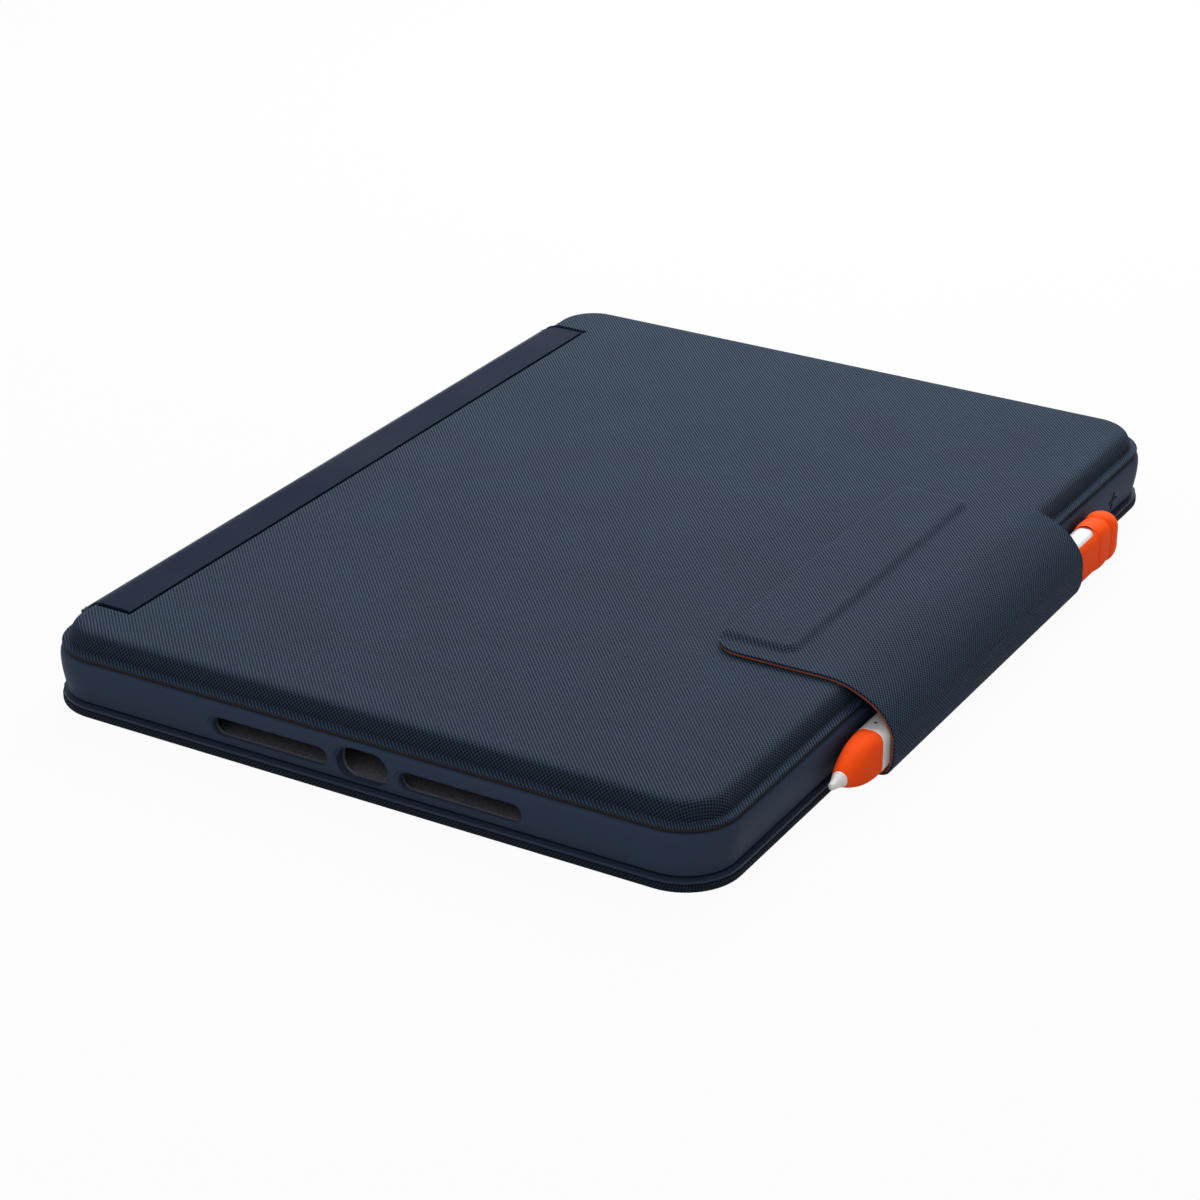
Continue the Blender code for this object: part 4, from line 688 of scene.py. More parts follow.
# %% Masks on the tray
MARK_SIZE = 5.0 * MM
MARK_WIDTH = 0.8 * MM
POCKET_HALF_X = 125.6 * MM
POCKET_HALF_Y = 87.35 * MM
POCKET_CORNER = 10.3 * MM
POCKET_FELT = 1.0 * MM
LIP_UNDERSIDE = 12.2 * MM

# The edges of the masks, in millimetres, as the finish's own coordinates are.
MARK_BLUR = 0.1
SIDE_DEPTH = 0.2
WALL_BLUR = 0.2
LIP_BLUR = 0.4
FELT_START = (4.0, 4.3)


def stroke_mask(first, second, half_first, half_second):
    """1 inside a rectangle of these half sizes, from the distances to its middle lines."""
    return (first.ramp(half_first, half_first + MARK_BLUR, 1.0, 0.0)
            * second.ramp(half_second, half_second + MARK_BLUR, 1.0, 0.0))


def sign_shade_mask(place, button, upright):
    """1 on the plus or minus sign in the middle of a button, where shade is painted, and 0
    elsewhere.
    """
    x, y, z = place
    low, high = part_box(button)
    middle = (low + high) / (2 * MM)
    half_size = MARK_SIZE / (2 * MM)
    half_width = MARK_WIDTH / (2 * MM)
    across = (x - middle.x).math("ABSOLUTE")
    up = (z - middle.z).math("ABSOLUTE")
    mask = stroke_mask(across, up, half_size, half_width)
    if upright:
        mask = mask.math("MAXIMUM", stroke_mask(across, up, half_width, half_size))
    return mask * y.ramp(middle.y - SIDE_DEPTH, middle.y, 1.0, 0.0)


def pocket_mask(place):
    """1 on the pocket's walls and floor under the lip, and 0 elsewhere."""
    x, y, z = place
    corner = (POCKET_CORNER + POCKET_FELT) / MM
    beyond_x = (x.math("ABSOLUTE") - (POCKET_HALF_X - POCKET_CORNER) / MM).math("MAXIMUM", 0.0)
    beyond_y = (y.math("ABSOLUTE") - (POCKET_HALF_Y - POCKET_CORNER) / MM).math("MAXIMUM", 0.0)
    beyond = (beyond_x * beyond_x + beyond_y * beyond_y).math("SQRT")
    top = LIP_UNDERSIDE / MM
    return (beyond.ramp(corner - WALL_BLUR, corner, 1.0, 0.0)
            * z.ramp(top - LIP_BLUR, top, 1.0, 0.0) * z.ramp(*FELT_START))


print("the pocket's felt starts", FELT_START[0], "to", FELT_START[1], "mm above the table")

# %% Tray finish
def make_tray_finish(name, colour, felt):
    """Moulded rubber, faint drawn lines, signs on two buttons painted dark as shade, pocket felt.
    """
    bench = bench_for(name)
    tone, broad, normal = rubber_tone(bench, colour, 0.02 * MM, lines=1.2)
    place = bench.split(bench.place(COARSE))
    # The signs are painted dark as the shade of their raised strokes.
    signs = (sign_shade_mask(place, "volume_up_button", True)
             .math("MAXIMUM", sign_shade_mask(place, "volume_down_button", False)))
    sign_shaded = bench.blend(signs, tone, shade(colour, 0.25))
    return bench.finish(bench.blend(pocket_mask(place), sign_shaded, felt_tone(bench, felt)[0]),
                        broad.ramp(0.2, 0.8, 0.56, 0.68), Normal=normal,
                        Specular_IOR_Level=0.08)


tray_rubber = make_tray_finish("tray_rubber", linear(45, 56, 75), linear(112, 112, 122))
print("tray finish:", len(tray_rubber.node_tree.nodes), "nodes")

# %% [markdown]
# ## Metal, plastic and the hidden layers
#
# The stylus's barrel is bead-blasted, which leaves a fine even frost with no direction. A fully
# metallic shader would only mirror the white room, so the barrel's finish is mostly a pale satin
# coat, with a little metal in it. The layers inside the case are seen when it comes apart, so
# each has a finish of its own too.

# %% Metals
LAMP_X = -56.8 * MM
LAMP_Y = -97.1 * MM
LAMP_RADIUS = 0.45 * MM
LAMP_HEIGHT = (10.0, 10.5)  # in millimetres


def make_metal_finish(name, colour, roughness, grain=0.004 * MM):
    """Blasted or plated metal with a fine frost."""
    bench = bench_for(name)
    place = bench.place(COARSE)
    blast = bench.noise(place, scale=9.0)
    broad = bench.noise(place, scale=0.08)
    tone = bench.blend(broad, shade(colour, 0.93), colour)
    return bench.finish(tone, blast.ramp(0.3, 0.7, roughness - 0.05, roughness + 0.05),
                        Metallic=1.0, Normal=bench.bump(blast, grain))


def make_barrel_finish(name, lamp_x, lamp_y, lamp_radius):
    """Satin metal paint with the dark dot of a small status lamp on the upper narrow face."""
    bench = bench_for(name)
    place = bench.place(COARSE)
    blast = bench.noise(place, scale=9.0)
    x, y, z = bench.split(place)
    off_x = x - lamp_x / MM
    off_y = y - lamp_y / MM
    radius = lamp_radius / MM
    dot = (off_x * off_x + off_y * off_y).ramp((0.8 * radius) ** 2, (1.2 * radius) ** 2, 1.0, 0.0)
    on_top = z.ramp(*LAMP_HEIGHT)
    tone = bench.blend(blast, linear(206, 205, 203), linear(216, 215, 213))
    return bench.finish(bench.blend(dot * on_top, tone, linear(40, 40, 44)),
                        blast.ramp(0.3, 0.7, 0.34, 0.44), Metallic=0.15,
                        Normal=bench.bump(blast, 0.003 * MM))


barrel_silver = make_barrel_finish("barrel_aluminium", LAMP_X, LAMP_Y, LAMP_RADIUS)
silver = make_metal_finish("blasted_aluminium", linear(232, 232, 234), 0.36)
steel = make_metal_finish("sheet_steel", linear(180, 182, 186), 0.34)
magnet_nickel = make_metal_finish("magnet_nickel", linear(200, 198, 192), 0.22)
gold = make_metal_finish("gold_plate", linear(236, 196, 110), 0.22)
print("metals:", barrel_silver.name, silver.name, steel.name, magnet_nickel.name, gold.name)

# %% Plastics and layers, and the solids that stay as they are
white_nib = make_rubber_finish("nib_plastic", linear(228, 224, 220), 0.40, 0.004 * MM)
black_plastic = make_rubber_finish("black_plastic", linear(30, 30, 33), 0.45, 0.006 * MM)
dark_board = make_rubber_finish("fibre_board", linear(48, 47, 48), 0.75)
foam_grey = make_rubber_finish("foam_grey", linear(72, 72, 76), 0.9, 0.08 * MM)
clear_film = make_rubber_finish("film_layer", linear(160, 166, 172), 0.35, 0.003 * MM)
dome_silicone = make_rubber_finish("dome_silicone", linear(170, 172, 174), 0.5, 0.006 * MM)
board_green = make_rubber_finish("circuit_lacquer", linear(34, 104, 66), 0.4, 0.01 * MM)
cable_amber = make_rubber_finish("polyimide_film", linear(176, 112, 48), 0.35, 0.004 * MM)

FINISH_OF_SLOT = {
    "navy_fabric": navy_cloth, "navy_rubber": navy_rubber, "copper_lining": lining_cloth,
    "dark_board": dark_board, "foam": foam_grey, "steel": steel, "magnet": magnet_nickel,
    "gold_contact": gold, "clear_film": clear_film, "dome_rubber": dome_silicone,
    "circuit_green": board_green, "amber_cable": cable_amber, "black_plastic": black_plastic,
    "silver_barrel": silver, "orange_rubber": orange_rubber, "white_nib": white_nib,
}

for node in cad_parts.values():
    for slot in node.material_slots:
        slot_name = slot.material.name.split(".")[0]
        if slot_name in FINISH_OF_SLOT:
            slot.material = FINISH_OF_SLOT[slot_name]
print("finishes on", len(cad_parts), "solids")

# %% [markdown]
# ## Tray
#
# The tray is one rubber moulding round the tablet: a thin floor, a convex side that is widest
# near its top, and a soft lip that reaches over the tablet's edge. It could be a bevelled box,
# but a bevel can't hold a side that swells and then turns in. It is lofted instead as one closed
# body, from the foot over the lip and down into the pocket.

# %% Profile of the tray
tray_low, tray_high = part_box("tablet_tray")
TRAY_HEIGHT = tray_high.z - tray_low.z
TRAY = plan_of("tablet_tray", 14.5 * MM)
POCKET = centred_plan(POCKET_HALF_X, POCKET_HALF_Y, POCKET_CORNER)
POCKET_FLOOR = tray_low.z + 1.1 * MM
POCKET_ROUND = 0.8 * MM
FOOT_INSET = 1.3 * MM
FOOT_ROUND = 0.9 * MM
WIDEST = 0.76
SIDE_CURVE = 1.6
TOP_INSET = 0.25 * FOOT_INSET
SIDE_STEPS = 18
MOUTH_ROUND = 1.3 * MM
MOUTH_STEPS = 7
LIP_REACH = 2.4 * MM
LIP_ROUND = 0.9 * MM
LIP_BEVEL = Vector((0.3 * MM, 0.4 * MM))


def tray_side(share):
    """Inset of the convex side at a share of the tray's height."""
    if share > WIDEST:
        return TOP_INSET * ((share - WIDEST) / (1 - WIDEST)) ** 2
    return FOOT_INSET * ((WIDEST - share) / WIDEST) ** SIDE_CURVE


def rounded_levels(plan, first, last, convex=True, steps=5):
    """A quarter turn between two (inset, height) places of one plan."""
    levels = []
    for step in range(steps + 1):
        angle = 0.5 * pi * step / steps
        level_share = sin(angle) if convex else 1 - cos(angle)
        inset_share = 1 - cos(angle) if convex else sin(angle)
        levels.append((plan, first[0] + inset_share * (last[0] - first[0]),
                       first[1] + level_share * (last[1] - first[1])))
    return levels


def tray_outside(grow=0.0):
    """Levels of the tray's outside, from its foot to the start of the lip."""
    levels = [(TRAY, FOOT_INSET + FOOT_ROUND - grow, tray_low.z)]
    turn = 1 - MOUTH_ROUND / TRAY_HEIGHT
    for step in range(1, SIDE_STEPS):
        share = turn * step / SIDE_STEPS
        levels.append((TRAY, tray_side(share) - grow, tray_low.z + share * TRAY_HEIGHT))
    inset = tray_side(turn) - grow
    return levels + rounded_levels(TRAY, (inset, tray_high.z - MOUTH_ROUND),
                                   (inset + MOUTH_ROUND, tray_high.z), steps=MOUTH_STEPS)


print("tray's outside:", len(tray_outside()), "levels over", round(TRAY_HEIGHT / MM, 1), "mm")

# %% Tray body
lip_levels = rounded_levels(POCKET, (LIP_REACH - LIP_ROUND, tray_high.z),
                            (LIP_REACH, tray_high.z - LIP_ROUND), convex=False)
under_lip = [(POCKET, LIP_REACH, LIP_UNDERSIDE + LIP_BEVEL.y),
             (POCKET, LIP_REACH - LIP_BEVEL.x, LIP_UNDERSIDE), (POCKET, 0.0, LIP_UNDERSIDE)]
pocket_levels = rounded_levels(POCKET, (0.0, POCKET_FLOOR + POCKET_ROUND),
                               (POCKET_ROUND, POCKET_FLOOR), steps=3)
tray_shell = stack("tray_shell", tray_outside() + lip_levels + under_lip + pocket_levels)
print("tray:", len(tray_shell.data.polygons), "faces before its openings are cut")

# %% [markdown]
# ## Openings of the tray
#
# On the real case every opening has a soft rounded mouth, because rubber tears at a sharp edge.
# A plain cut with a bevel after it fails where the side curves, so the roundness is in the
# tools: each widens towards the outside along a quarter turn. The speaker slots also widen on
# the inside, behind a thin wall.

# %% Tools with a rounded mouth
NEARLY = 0.98  # of a half width, so that the points of a round end stay apart
MOUTH_TURNS = 8
BEYOND = 2 * MM
FLARE = 1.1 * MM
PORT_FLARE = 0.7 * MM
RELIEF_START = 0.4 * MM
RELIEF_END = 0.7 * MM


def end_tool(name, side, y, z, half_length, half_height, flare=FLARE, relief=0.0):
    """A round-ended cutter through a short wall, wider outside and, by the relief, inside."""
    shape = centred_plan(half_length, half_height, NEARLY * min(half_length, half_height))
    surface = tray_high.x - tray_side((z - tray_low.z) / TRAY_HEIGHT)
    rings = [(tray_high.x + BEYOND, flare + 0.5 * MM)]
    for step in range(MOUTH_TURNS + 1):
        angle = 0.5 * pi * step / MOUTH_TURNS
        rings.append((surface - flare * (1 - cos(angle)), flare * (1 - sin(angle))))
    if relief:
        rings += [(surface - flare - RELIEF_START, 0.0), (surface - flare - RELIEF_END, relief)]
    rings.append((POCKET.high_x - 1 * MM, relief))
    return loft(name, [[(side * x, y + a, z + b) for a, b in ring_points(shape, -grow)]
                        for x, grow in rings])


print("a mouth opens", round(FLARE / MM, 1), "mm wider in", MOUTH_TURNS, "steps")

# %% Port, speaker slots, jack and camera hole
PORT_MIDDLE = 8.7 * MM
PORT_HALF = (7.15 * MM, 4.25 * MM)
SLOT_MIDDLE = 8.15 * MM
SPEAKER_PLACE = 26.7 * MM
SPEAKER_HALF = (16.5 * MM, 2.3 * MM)
SPEAKER_RELIEF = 0.9 * MM
JACK_PLACE = 74.05 * MM
JACK_RADIUS = 3.5 * MM
CAMERA_OUTLINE = circle(112.1 * MM, -73.85 * MM, 7.0 * MM)

tools = [end_tool("port_tool", -1, 0.0, PORT_MIDDLE, *PORT_HALF, PORT_FLARE),
         end_tool("jack_tool", 1, JACK_PLACE, SLOT_MIDDLE, JACK_RADIUS, JACK_RADIUS)]
for side in (-1, 1):
    tools.append(end_tool("speaker_tool", -1, side * SPEAKER_PLACE, SLOT_MIDDLE, *SPEAKER_HALF,
                          relief=SPEAKER_RELIEF))
tools.append(prism("camera_tool", CAMERA_OUTLINE, 0.0, 6 * MM))
print("openings in the walls and the floor:", len(tools))

# %% Windows for the buttons and the contacts, the hinge's recess, and the cut
PIECE_GAP = 0.3 * MM
CONTACT_BORDER = Vector((3.1 * MM, 0, 0.8 * MM))
RECESS_BACK = 92.6 * MM
PAST_CASE = 99 * MM
WINDOW_GAP = Vector((0.015 * MM, 0.015 * MM, 0.015 * MM))
PUSH_Y = Vector((0, 2 * MM, 0))
PUSH_X = Vector((2 * MM, 0, 0))
BUTTON_PUSH = {"volume_up_button": PUSH_Y, "volume_down_button": PUSH_Y,
               "power_button": PUSH_X}


def window_tool(node, push):
    """A box round a button, from the solid's own box, longer at both ends by the push."""
    low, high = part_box(node)
    return box_between(node + "_tool", low - WINDOW_GAP - push, high + WINDOW_GAP + push)


link_low, link_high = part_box("spine_link")
contact_low, contact_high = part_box("contact_block")
RECESS = (link_low.x - PIECE_GAP, link_high.x + PIECE_GAP)
tools += [window_tool(button, push) for button, push in BUTTON_PUSH.items()]
tools.append(box_between("contact_tool", contact_low + CONTACT_BORDER - Vector((0, 1 * MM, 0)),
                         contact_high - CONTACT_BORDER))
tools.append(box_between("recess_tool", (RECESS[0], RECESS_BACK, 0.0),
                         (RECESS[1], PAST_CASE, 20 * MM)))
carve(tray_shell, *tools)
dress(tray_shell, tray_rubber, "tray", ["tablet_tray"], 30)

# %% [markdown]
# After a cut, Blender works out the shading from the cut faces too, and the smooth side looks
# dented next to every opening. The side's true direction is known from its profile, so it is
# written into the mesh as custom normals.

# %% Even shading round the openings
FOOT_SHARE = 0.04
SHARE_STEP = 0.01
ON_SIDE = 0.35 * MM
SAME_WAY = 0.9


def side_normal(point):
    """The outward direction of the tray's convex side at a point on it, or None elsewhere."""
    share = (point.z - tray_low.z) / TRAY_HEIGHT
    if not FOOT_SHARE < share < 1 - MOUTH_ROUND / TRAY_HEIGHT + 0.5 * SHARE_STEP:
        return None
    core = Vector((min(max(point.x, TRAY.low_x + TRAY.corner), TRAY.high_x - TRAY.corner),
                   min(max(point.y, TRAY.low_y + TRAY.corner), TRAY.high_y - TRAY.corner)))
    out = Vector((point.x, point.y)) - core
    if abs(TRAY.corner - out.length - tray_side(share)) > ON_SIDE:
        return None
    rise = tray_side(share + SHARE_STEP) - tray_side(share - SHARE_STEP)
    out.normalize()
    return Vector((out.x, out.y, rise / (2 * SHARE_STEP * TRAY_HEIGHT))).normalized()


def even_shading(item, wanted_normal):
    """Shades faces on a known smooth surface by that surface, so that cuts don't dent it."""
    mesh = item.data
    normals = [corner.vector.copy() for corner in mesh.corner_normals]
    for face in mesh.polygons:
        for loop in face.loop_indices:
            wanted = wanted_normal(mesh.vertices[mesh.loops[loop].vertex_index].co)
            if wanted and face.normal.dot(wanted) > SAME_WAY:
                normals[loop] = wanted
    mesh.normals_split_custom_set(normals)


even_shading(tray_shell, side_normal)
print("side of the tray is shaded by its own curve")

# %% [markdown]
# ## Buttons
#
# The buttons are pads of the same rubber that stand in windows of the side, flush with it. A
# flat pad would show against the convex side, so each pad is where the tray's own outside meets
# the button's box, and its raised sign is where a slightly grown outside meets two bars.


# %% Buttons flush with the tray's side
def crossed(name, outside, tool):
    """The part of a closed-up tray outside that lies within a tool."""
    return carve(stack(name, outside + [(TRAY, MOUTH_ROUND + 4 * MM, tray_high.z)]), tool,
                 operation="INTERSECT")


def bar_tool(middle, length, height):
    """A bar across the tray's long side, for one stroke of a sign."""
    half = Vector((length / 2, 0, height / 2))
    front = Vector((middle.x, tray_low.y, middle.z))
    return box_between("bar_tool", front - half - PUSH_Y, front + half + PUSH_Y)


MARK_RISE = 0.22 * MM
for button, push in BUTTON_PUSH.items():
    low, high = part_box(button)
    if push == PUSH_Y:
        pad_tool = box_between("pad_tool", low - push, high)
    else:
        pad_tool = box_between("pad_tool", low, high + push)
    pad = crossed(button + "_pad", tray_outside(), pad_tool)
    if push == PUSH_Y:
        middle = (low + high) / 2
        marks = [crossed("mark", tray_outside(MARK_RISE), bar_tool(middle, MARK_SIZE, MARK_WIDTH))]
        if "up" in button:
            marks.append(crossed("mark", tray_outside(NEARLY * MARK_RISE),
                                 bar_tool(middle, MARK_WIDTH, MARK_SIZE)))
        carve(pad, *marks, operation="UNION")
    dress(pad, tray_rubber, button.replace("_button", ""), [button], 30)
    even_shading(pad, side_normal)

# %% [markdown]
# ## Back panel and kickstand
#
# The back is a stiff board wrapped in the same cloth, and the kickstand is a leaf cut out of
# it. Cloth could be draped over a board by simulation, but here it is glued down all over, so
# it is drawn as a shallow pan over each board.

# %% Back cloth
BACK = plan_of("back_panel_fabric", 14.65 * MM)
LEAF = plan_of("kickstand_fabric", 8.0 * MM)
back_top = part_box("back_panel_fabric")[1].z
STAND_FOLD = 8.0 * MM
STAND_SEAM = 1.6 * MM
STAND_GAP = 0.6 * MM
CLOTH_THICKNESS = 0.5 * MM
EDGE_ROUND = 0.8 * MM
RIM_BEVEL = Vector((0.1 * MM, 0.2 * MM))
HOLE = Plan(LEAF.low_x - STAND_GAP, LEAF.high_x + STAND_GAP, STAND_FOLD - STAND_SEAM,
            LEAF.high_y + STAND_GAP, LEAF.corner + STAND_GAP)
NOTCH_HALF = (12.0 * MM, 3.0 * MM)
HINGE_PLACE = 88.0 * MM
HINGE_HALF = (12.0 * MM + PIECE_GAP, 2.7 * MM)


def cloth_pan(name, plan, top):
    """Cloth over the underside and the edge of a board."""
    levels = [(plan, 6 * MM, 0.0), (plan, 2 * MM, 0.0)]
    levels += rounded_levels(plan, (EDGE_ROUND, 0.0), (0.0, EDGE_ROUND), convex=False)
    levels += [(plan, 0.0, top - RIM_BEVEL.y), (plan, RIM_BEVEL.x, top),
               (plan, CLOTH_THICKNESS, top), (plan, CLOTH_THICKNESS, CLOTH_THICKNESS)]
    return stack(name, levels)


def hinge_tools():
    """Room for the two friction hinges."""
    half_x, half_y = HINGE_HALF
    return [box_between("hinge_tool",
                        (x - half_x, STAND_FOLD - half_y, CLOTH_THICKNESS + PIECE_GAP),
                        (x + half_x, STAND_FOLD + half_y, 6 * MM))
            for x in (-HINGE_PLACE, HINGE_PLACE)]


def through_tool(name, outline):
    """A cutter through the whole back."""
    return prism(name, outline, -2 * MM, 4 * MM)


notch = centred_plan(*NOTCH_HALF, NEARLY * NOTCH_HALF[1], y=HOLE.high_y)
back_cloth = cloth_pan("back_cloth", BACK, back_top)
carve(back_cloth, through_tool("hole_tool", ring_points(HOLE)),
      through_tool("notch_tool", ring_points(notch)),
      through_tool("camera_tool", CAMERA_OUTLINE), *hinge_tools())
dress(back_cloth, back_weave_shaded, "tray", ["back_panel_fabric"])
stand_cloth = carve(cloth_pan("stand_cloth", LEAF, back_top), *hinge_tools())
dress(stand_cloth, back_weave_shaded, "kickstand", ["kickstand_fabric"])

# %% [markdown]
# ## Keyboard cover
#
# The cover is a thin hard shell with cloth bonded over a foam layer. Its top is flat, its rim
# rolls down in one soft curve, and at the bottom the cloth runs out into a narrow flange. A
# simulated cushion would swell where the real one is held flat by its shell, so the curve is
# drawn once as a profile and lofted round the edge. The hinge band lies in a groove of its own.

# %% Cover cloth
COVER = plan_of("cover_fabric", 14.0 * MM)
FLANGE_WIDTH = 2.0 * MM
RIM_ROLL = 6.0 * MM
CLOTH_WALL = 0.8 * MM
PROFILE_STEPS = 5
ROLL = ((1.0, 0.008), (0.66, 0.06), (0.37, 0.19), (0.17, 0.40), (0.06, 0.66), (0.02, 0.86))


def roll_knots(start, top, rise):
    """The rolled rim as (inset, height), from the flat top down to its foot."""
    return [(start + across * (RIM_ROLL - FLANGE_WIDTH), top - down * rise)
            for across, down in ROLL]


def cover_profile():
    """Inset and height from the flat top over the rim to the flange's underside."""
    top = cover_high.z
    bottom = cover_low.z
    flange_top = bottom + FLANGE_THICKNESS
    knots = [(RIM_ROLL + 3.0 * MM, top), (RIM_ROLL + 1.4 * MM, top)]
    knots += roll_knots(FLANGE_WIDTH, top, top - flange_top)
    knots += [(0.93 * FLANGE_WIDTH, flange_top + 0.22 * MM),
              (0.72 * FLANGE_WIDTH, flange_top + 0.02 * MM),
              (0.30 * FLANGE_WIDTH, flange_top - 0.02 * MM),
              (0.08 * FLANGE_WIDTH, flange_top - 0.12 * MM),
              (0.0, flange_top - 0.40 * MM), (0.04 * FLANGE_WIDTH, bottom + 0.10 * MM),
              (0.15 * FLANGE_WIDTH, bottom)]
    return curve_through(knots, PROFILE_STEPS)


def inner_profile():
    """The hollow side of the shell, back up to the underside of the top."""
    inner = FLANGE_WIDTH + CLOTH_WALL
    top = cover_high.z - CLOTH_WALL
    knots = roll_knots(inner, top, top - cover_low.z)
    return [(inner, cover_low.z)] + [(inset, min(height, top)) for inset, height in knots[::-1]]


def link_tool():
    """Room for the spine link along the hinge side."""
    return box_between("link_tool", (RECESS[0], link_low.y - PIECE_GAP, 0.0),
                       (RECESS[1], PAST_CASE, 40 * MM))


BAND_INNER_Y = 80.7 * MM
BAND_X = (-111.2 * MM, 107.4 * MM)
BAND_GROOVE = 1.1 * MM
GROOVE_DEPTH = 0.7 * MM
GROOVE_BACK = 90 * MM
cover_cloth = stack("cover_cloth", [(COVER, inset, height) for inset, height in
                                    cover_profile() + inner_profile()])
groove_low = (BAND_X[0] - BAND_GROOVE, BAND_INNER_Y - BAND_GROOVE,
              cover_high.z - GROOVE_DEPTH)
groove_high = (BAND_X[1] + BAND_GROOVE, GROOVE_BACK, cover_high.z + 5 * MM)
carve(cover_cloth, link_tool(), box_between("groove_tool", groove_low, groove_high))
dress(cover_cloth, shaded_rim_cloth, "cover", ["cover_fabric"], 50)

# %% Lining round the keys
lining_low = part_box("cover_lining")[0]
LINING = plan_of("cover_lining", 13.7 * MM)
LINING_BEVEL = 0.1 * MM
SKIN = plan_of("key_skin", 6.0 * MM)
lining_frame = stack("lining_frame",
                     [(LINING, 0.0, cover_low.z), (LINING, 0.0, lining_low.z + LINING_BEVEL),
                      (LINING, LINING_BEVEL, lining_low.z), (SKIN, -PIECE_GAP, lining_low.z),
                      (SKIN, -PIECE_GAP, cover_low.z)], ends="joined")
carve(lining_frame, link_tool())
dress(lining_frame, shaded_lining, "cover", ["cover_lining"])

# %% [markdown]
# ## Keys
#
# The keyboard is one sealed skin with the keys moulded in it. Every key is the same shape in a
# different width: a rounded rectangle, drawn in to a slightly smaller face. The keys could be
# modelled one by one, but that rule is a Geometry Nodes tree here, and each width of key is one
# run of it over the places of those keys.

# %% A tree that sets a rounded key on every point
KEY_PITCH = 16.8 * MM
KEY_ROW_PITCH = 16.5 * MM
FUNCTION_ROW = 10.0 * MM
KEY_SPACE = 2.6 * MM
KEY_FIELD_BACK = 5.0 * MM
KEY_STEPS = ((-0.78, 0.955), (-0.17, 0.985), (-0.05, 0.95), (0.03, 0.80))
KEY_ROWS = ([1.0] * 14, [1.0] * 12 + [2.0], [1.5] + [1.0] * 11 + [1.5],
            [1.75] + [1.0] * 10 + [2.25], [2.25] + [1.0] * 9 + [2.75],
            [1.0, 1.0, 1.0, 1.25, 5.0, 1.25, 1.0, 1.0, 1.5])


def new_socket(tree, name, kind, default=None):
    """A named input of a tree."""
    socket = tree.interface.new_socket(name, in_out="INPUT", socket_type=kind)
    if default is not None:
        socket.default_value = default


def add_node(tree, kind, inputs=None, **settings):
    """Adds a node, its settings first, and then the values or links of its inputs."""
    node = tree.nodes.new(kind)
    for key, value in settings.items():
        setattr(node, key, value)
    for key, value in (inputs or {}).items():
        if isinstance(value, bpy.types.NodeSocket):
            tree.links.new(value, node.inputs[key])
        else:
            node.inputs[key].default_value = value
    return node


def make_key_tree():
    """Rounded outline, raised in steps to a dished face, then set on every point.

    Each step is a share of the key's rise, and the size of the new outline against the last.
    """
    tree = bpy.data.node_groups.new("keys", "GeometryNodeTree")
    new_socket(tree, "Places", "NodeSocketGeometry")
    for name, default in (("Length", 14 * MM), ("Depth", 14 * MM), ("Corner", 2 * MM),
                          ("Rise", 1.4 * MM)):
        new_socket(tree, name, "NodeSocketFloat", default)
    new_socket(tree, "Finish", "NodeSocketMaterial")
    tree.interface.new_socket("Keys", in_out="OUTPUT", socket_type="NodeSocketGeometry")
    given = tree.nodes.new("NodeGroupInput").outputs
    outline = add_node(tree, "GeometryNodeCurvePrimitiveQuadrilateral",
                       {"Width": given["Length"], "Height": given["Depth"]})
    rounded = add_node(tree, "GeometryNodeFilletCurve",
                       {"Curve": outline.outputs[0], "Radius": given["Corner"], "Count": 5,
                        "Limit Radius": True}, mode="POLY")
    filled = add_node(tree, "GeometryNodeFillCurve", {"Curve": rounded.outputs[0]},
                      mode="NGONS")
    mesh = filled.outputs[0]
    selection = True
    for share, scale in KEY_STEPS:
        height = add_node(tree, "ShaderNodeMath", {0: given["Rise"], 1: share},
                          operation="MULTIPLY")
        offset = add_node(tree, "ShaderNodeCombineXYZ", {"Z": height.outputs[0]})
        raised = add_node(tree, "GeometryNodeExtrudeMesh",
                          {"Mesh": mesh, "Offset": offset.outputs[0], "Offset Scale": 1.0,
                           "Individual": False, "Selection": selection})
        drawn = add_node(tree, "GeometryNodeScaleElements",
                         {"Geometry": raised.outputs["Mesh"], "Scale": scale,
                          "Selection": raised.outputs["Top"]})
        mesh = drawn.outputs[0]
        selection = raised.outputs["Top"]
    base = add_node(tree, "GeometryNodeFlipFaces", {"Mesh": filled.outputs[0]})
    joined = add_node(tree, "GeometryNodeJoinGeometry")
    tree.links.new(mesh, joined.inputs[0])
    tree.links.new(base.outputs[0], joined.inputs[0])
    closed = add_node(tree, "GeometryNodeMergeByDistance",
                      {"Geometry": joined.outputs[0], "Distance": 0.001 * MM})
    points = add_node(tree, "GeometryNodeInstanceOnPoints",
                      {"Points": given["Places"], "Instance": closed.outputs[0]})
    real = add_node(tree, "GeometryNodeRealizeInstances", {"Geometry": points.outputs[0]})
    finish = add_node(tree, "GeometryNodeSetMaterial",
                      {"Geometry": real.outputs[0], "Material": given["Finish"]})
    made = tree.nodes.new("NodeGroupOutput")
    tree.links.new(finish.outputs[0], made.inputs["Keys"])
    return tree


def run_tree(item, tree, values):
    """Adds a tree to a piece, its inputs set by identifier, and makes the result plain."""
    modifier = item.modifiers.new(tree.name, "NODES")
    modifier.node_group = tree
    for socket in tree.interface.items_tree:
        if socket.item_type == "SOCKET" and socket.name in values:
            modifier[socket.identifier] = values[socket.name]
    return settle(item)


print("a key is raised in", len(KEY_STEPS), "steps")


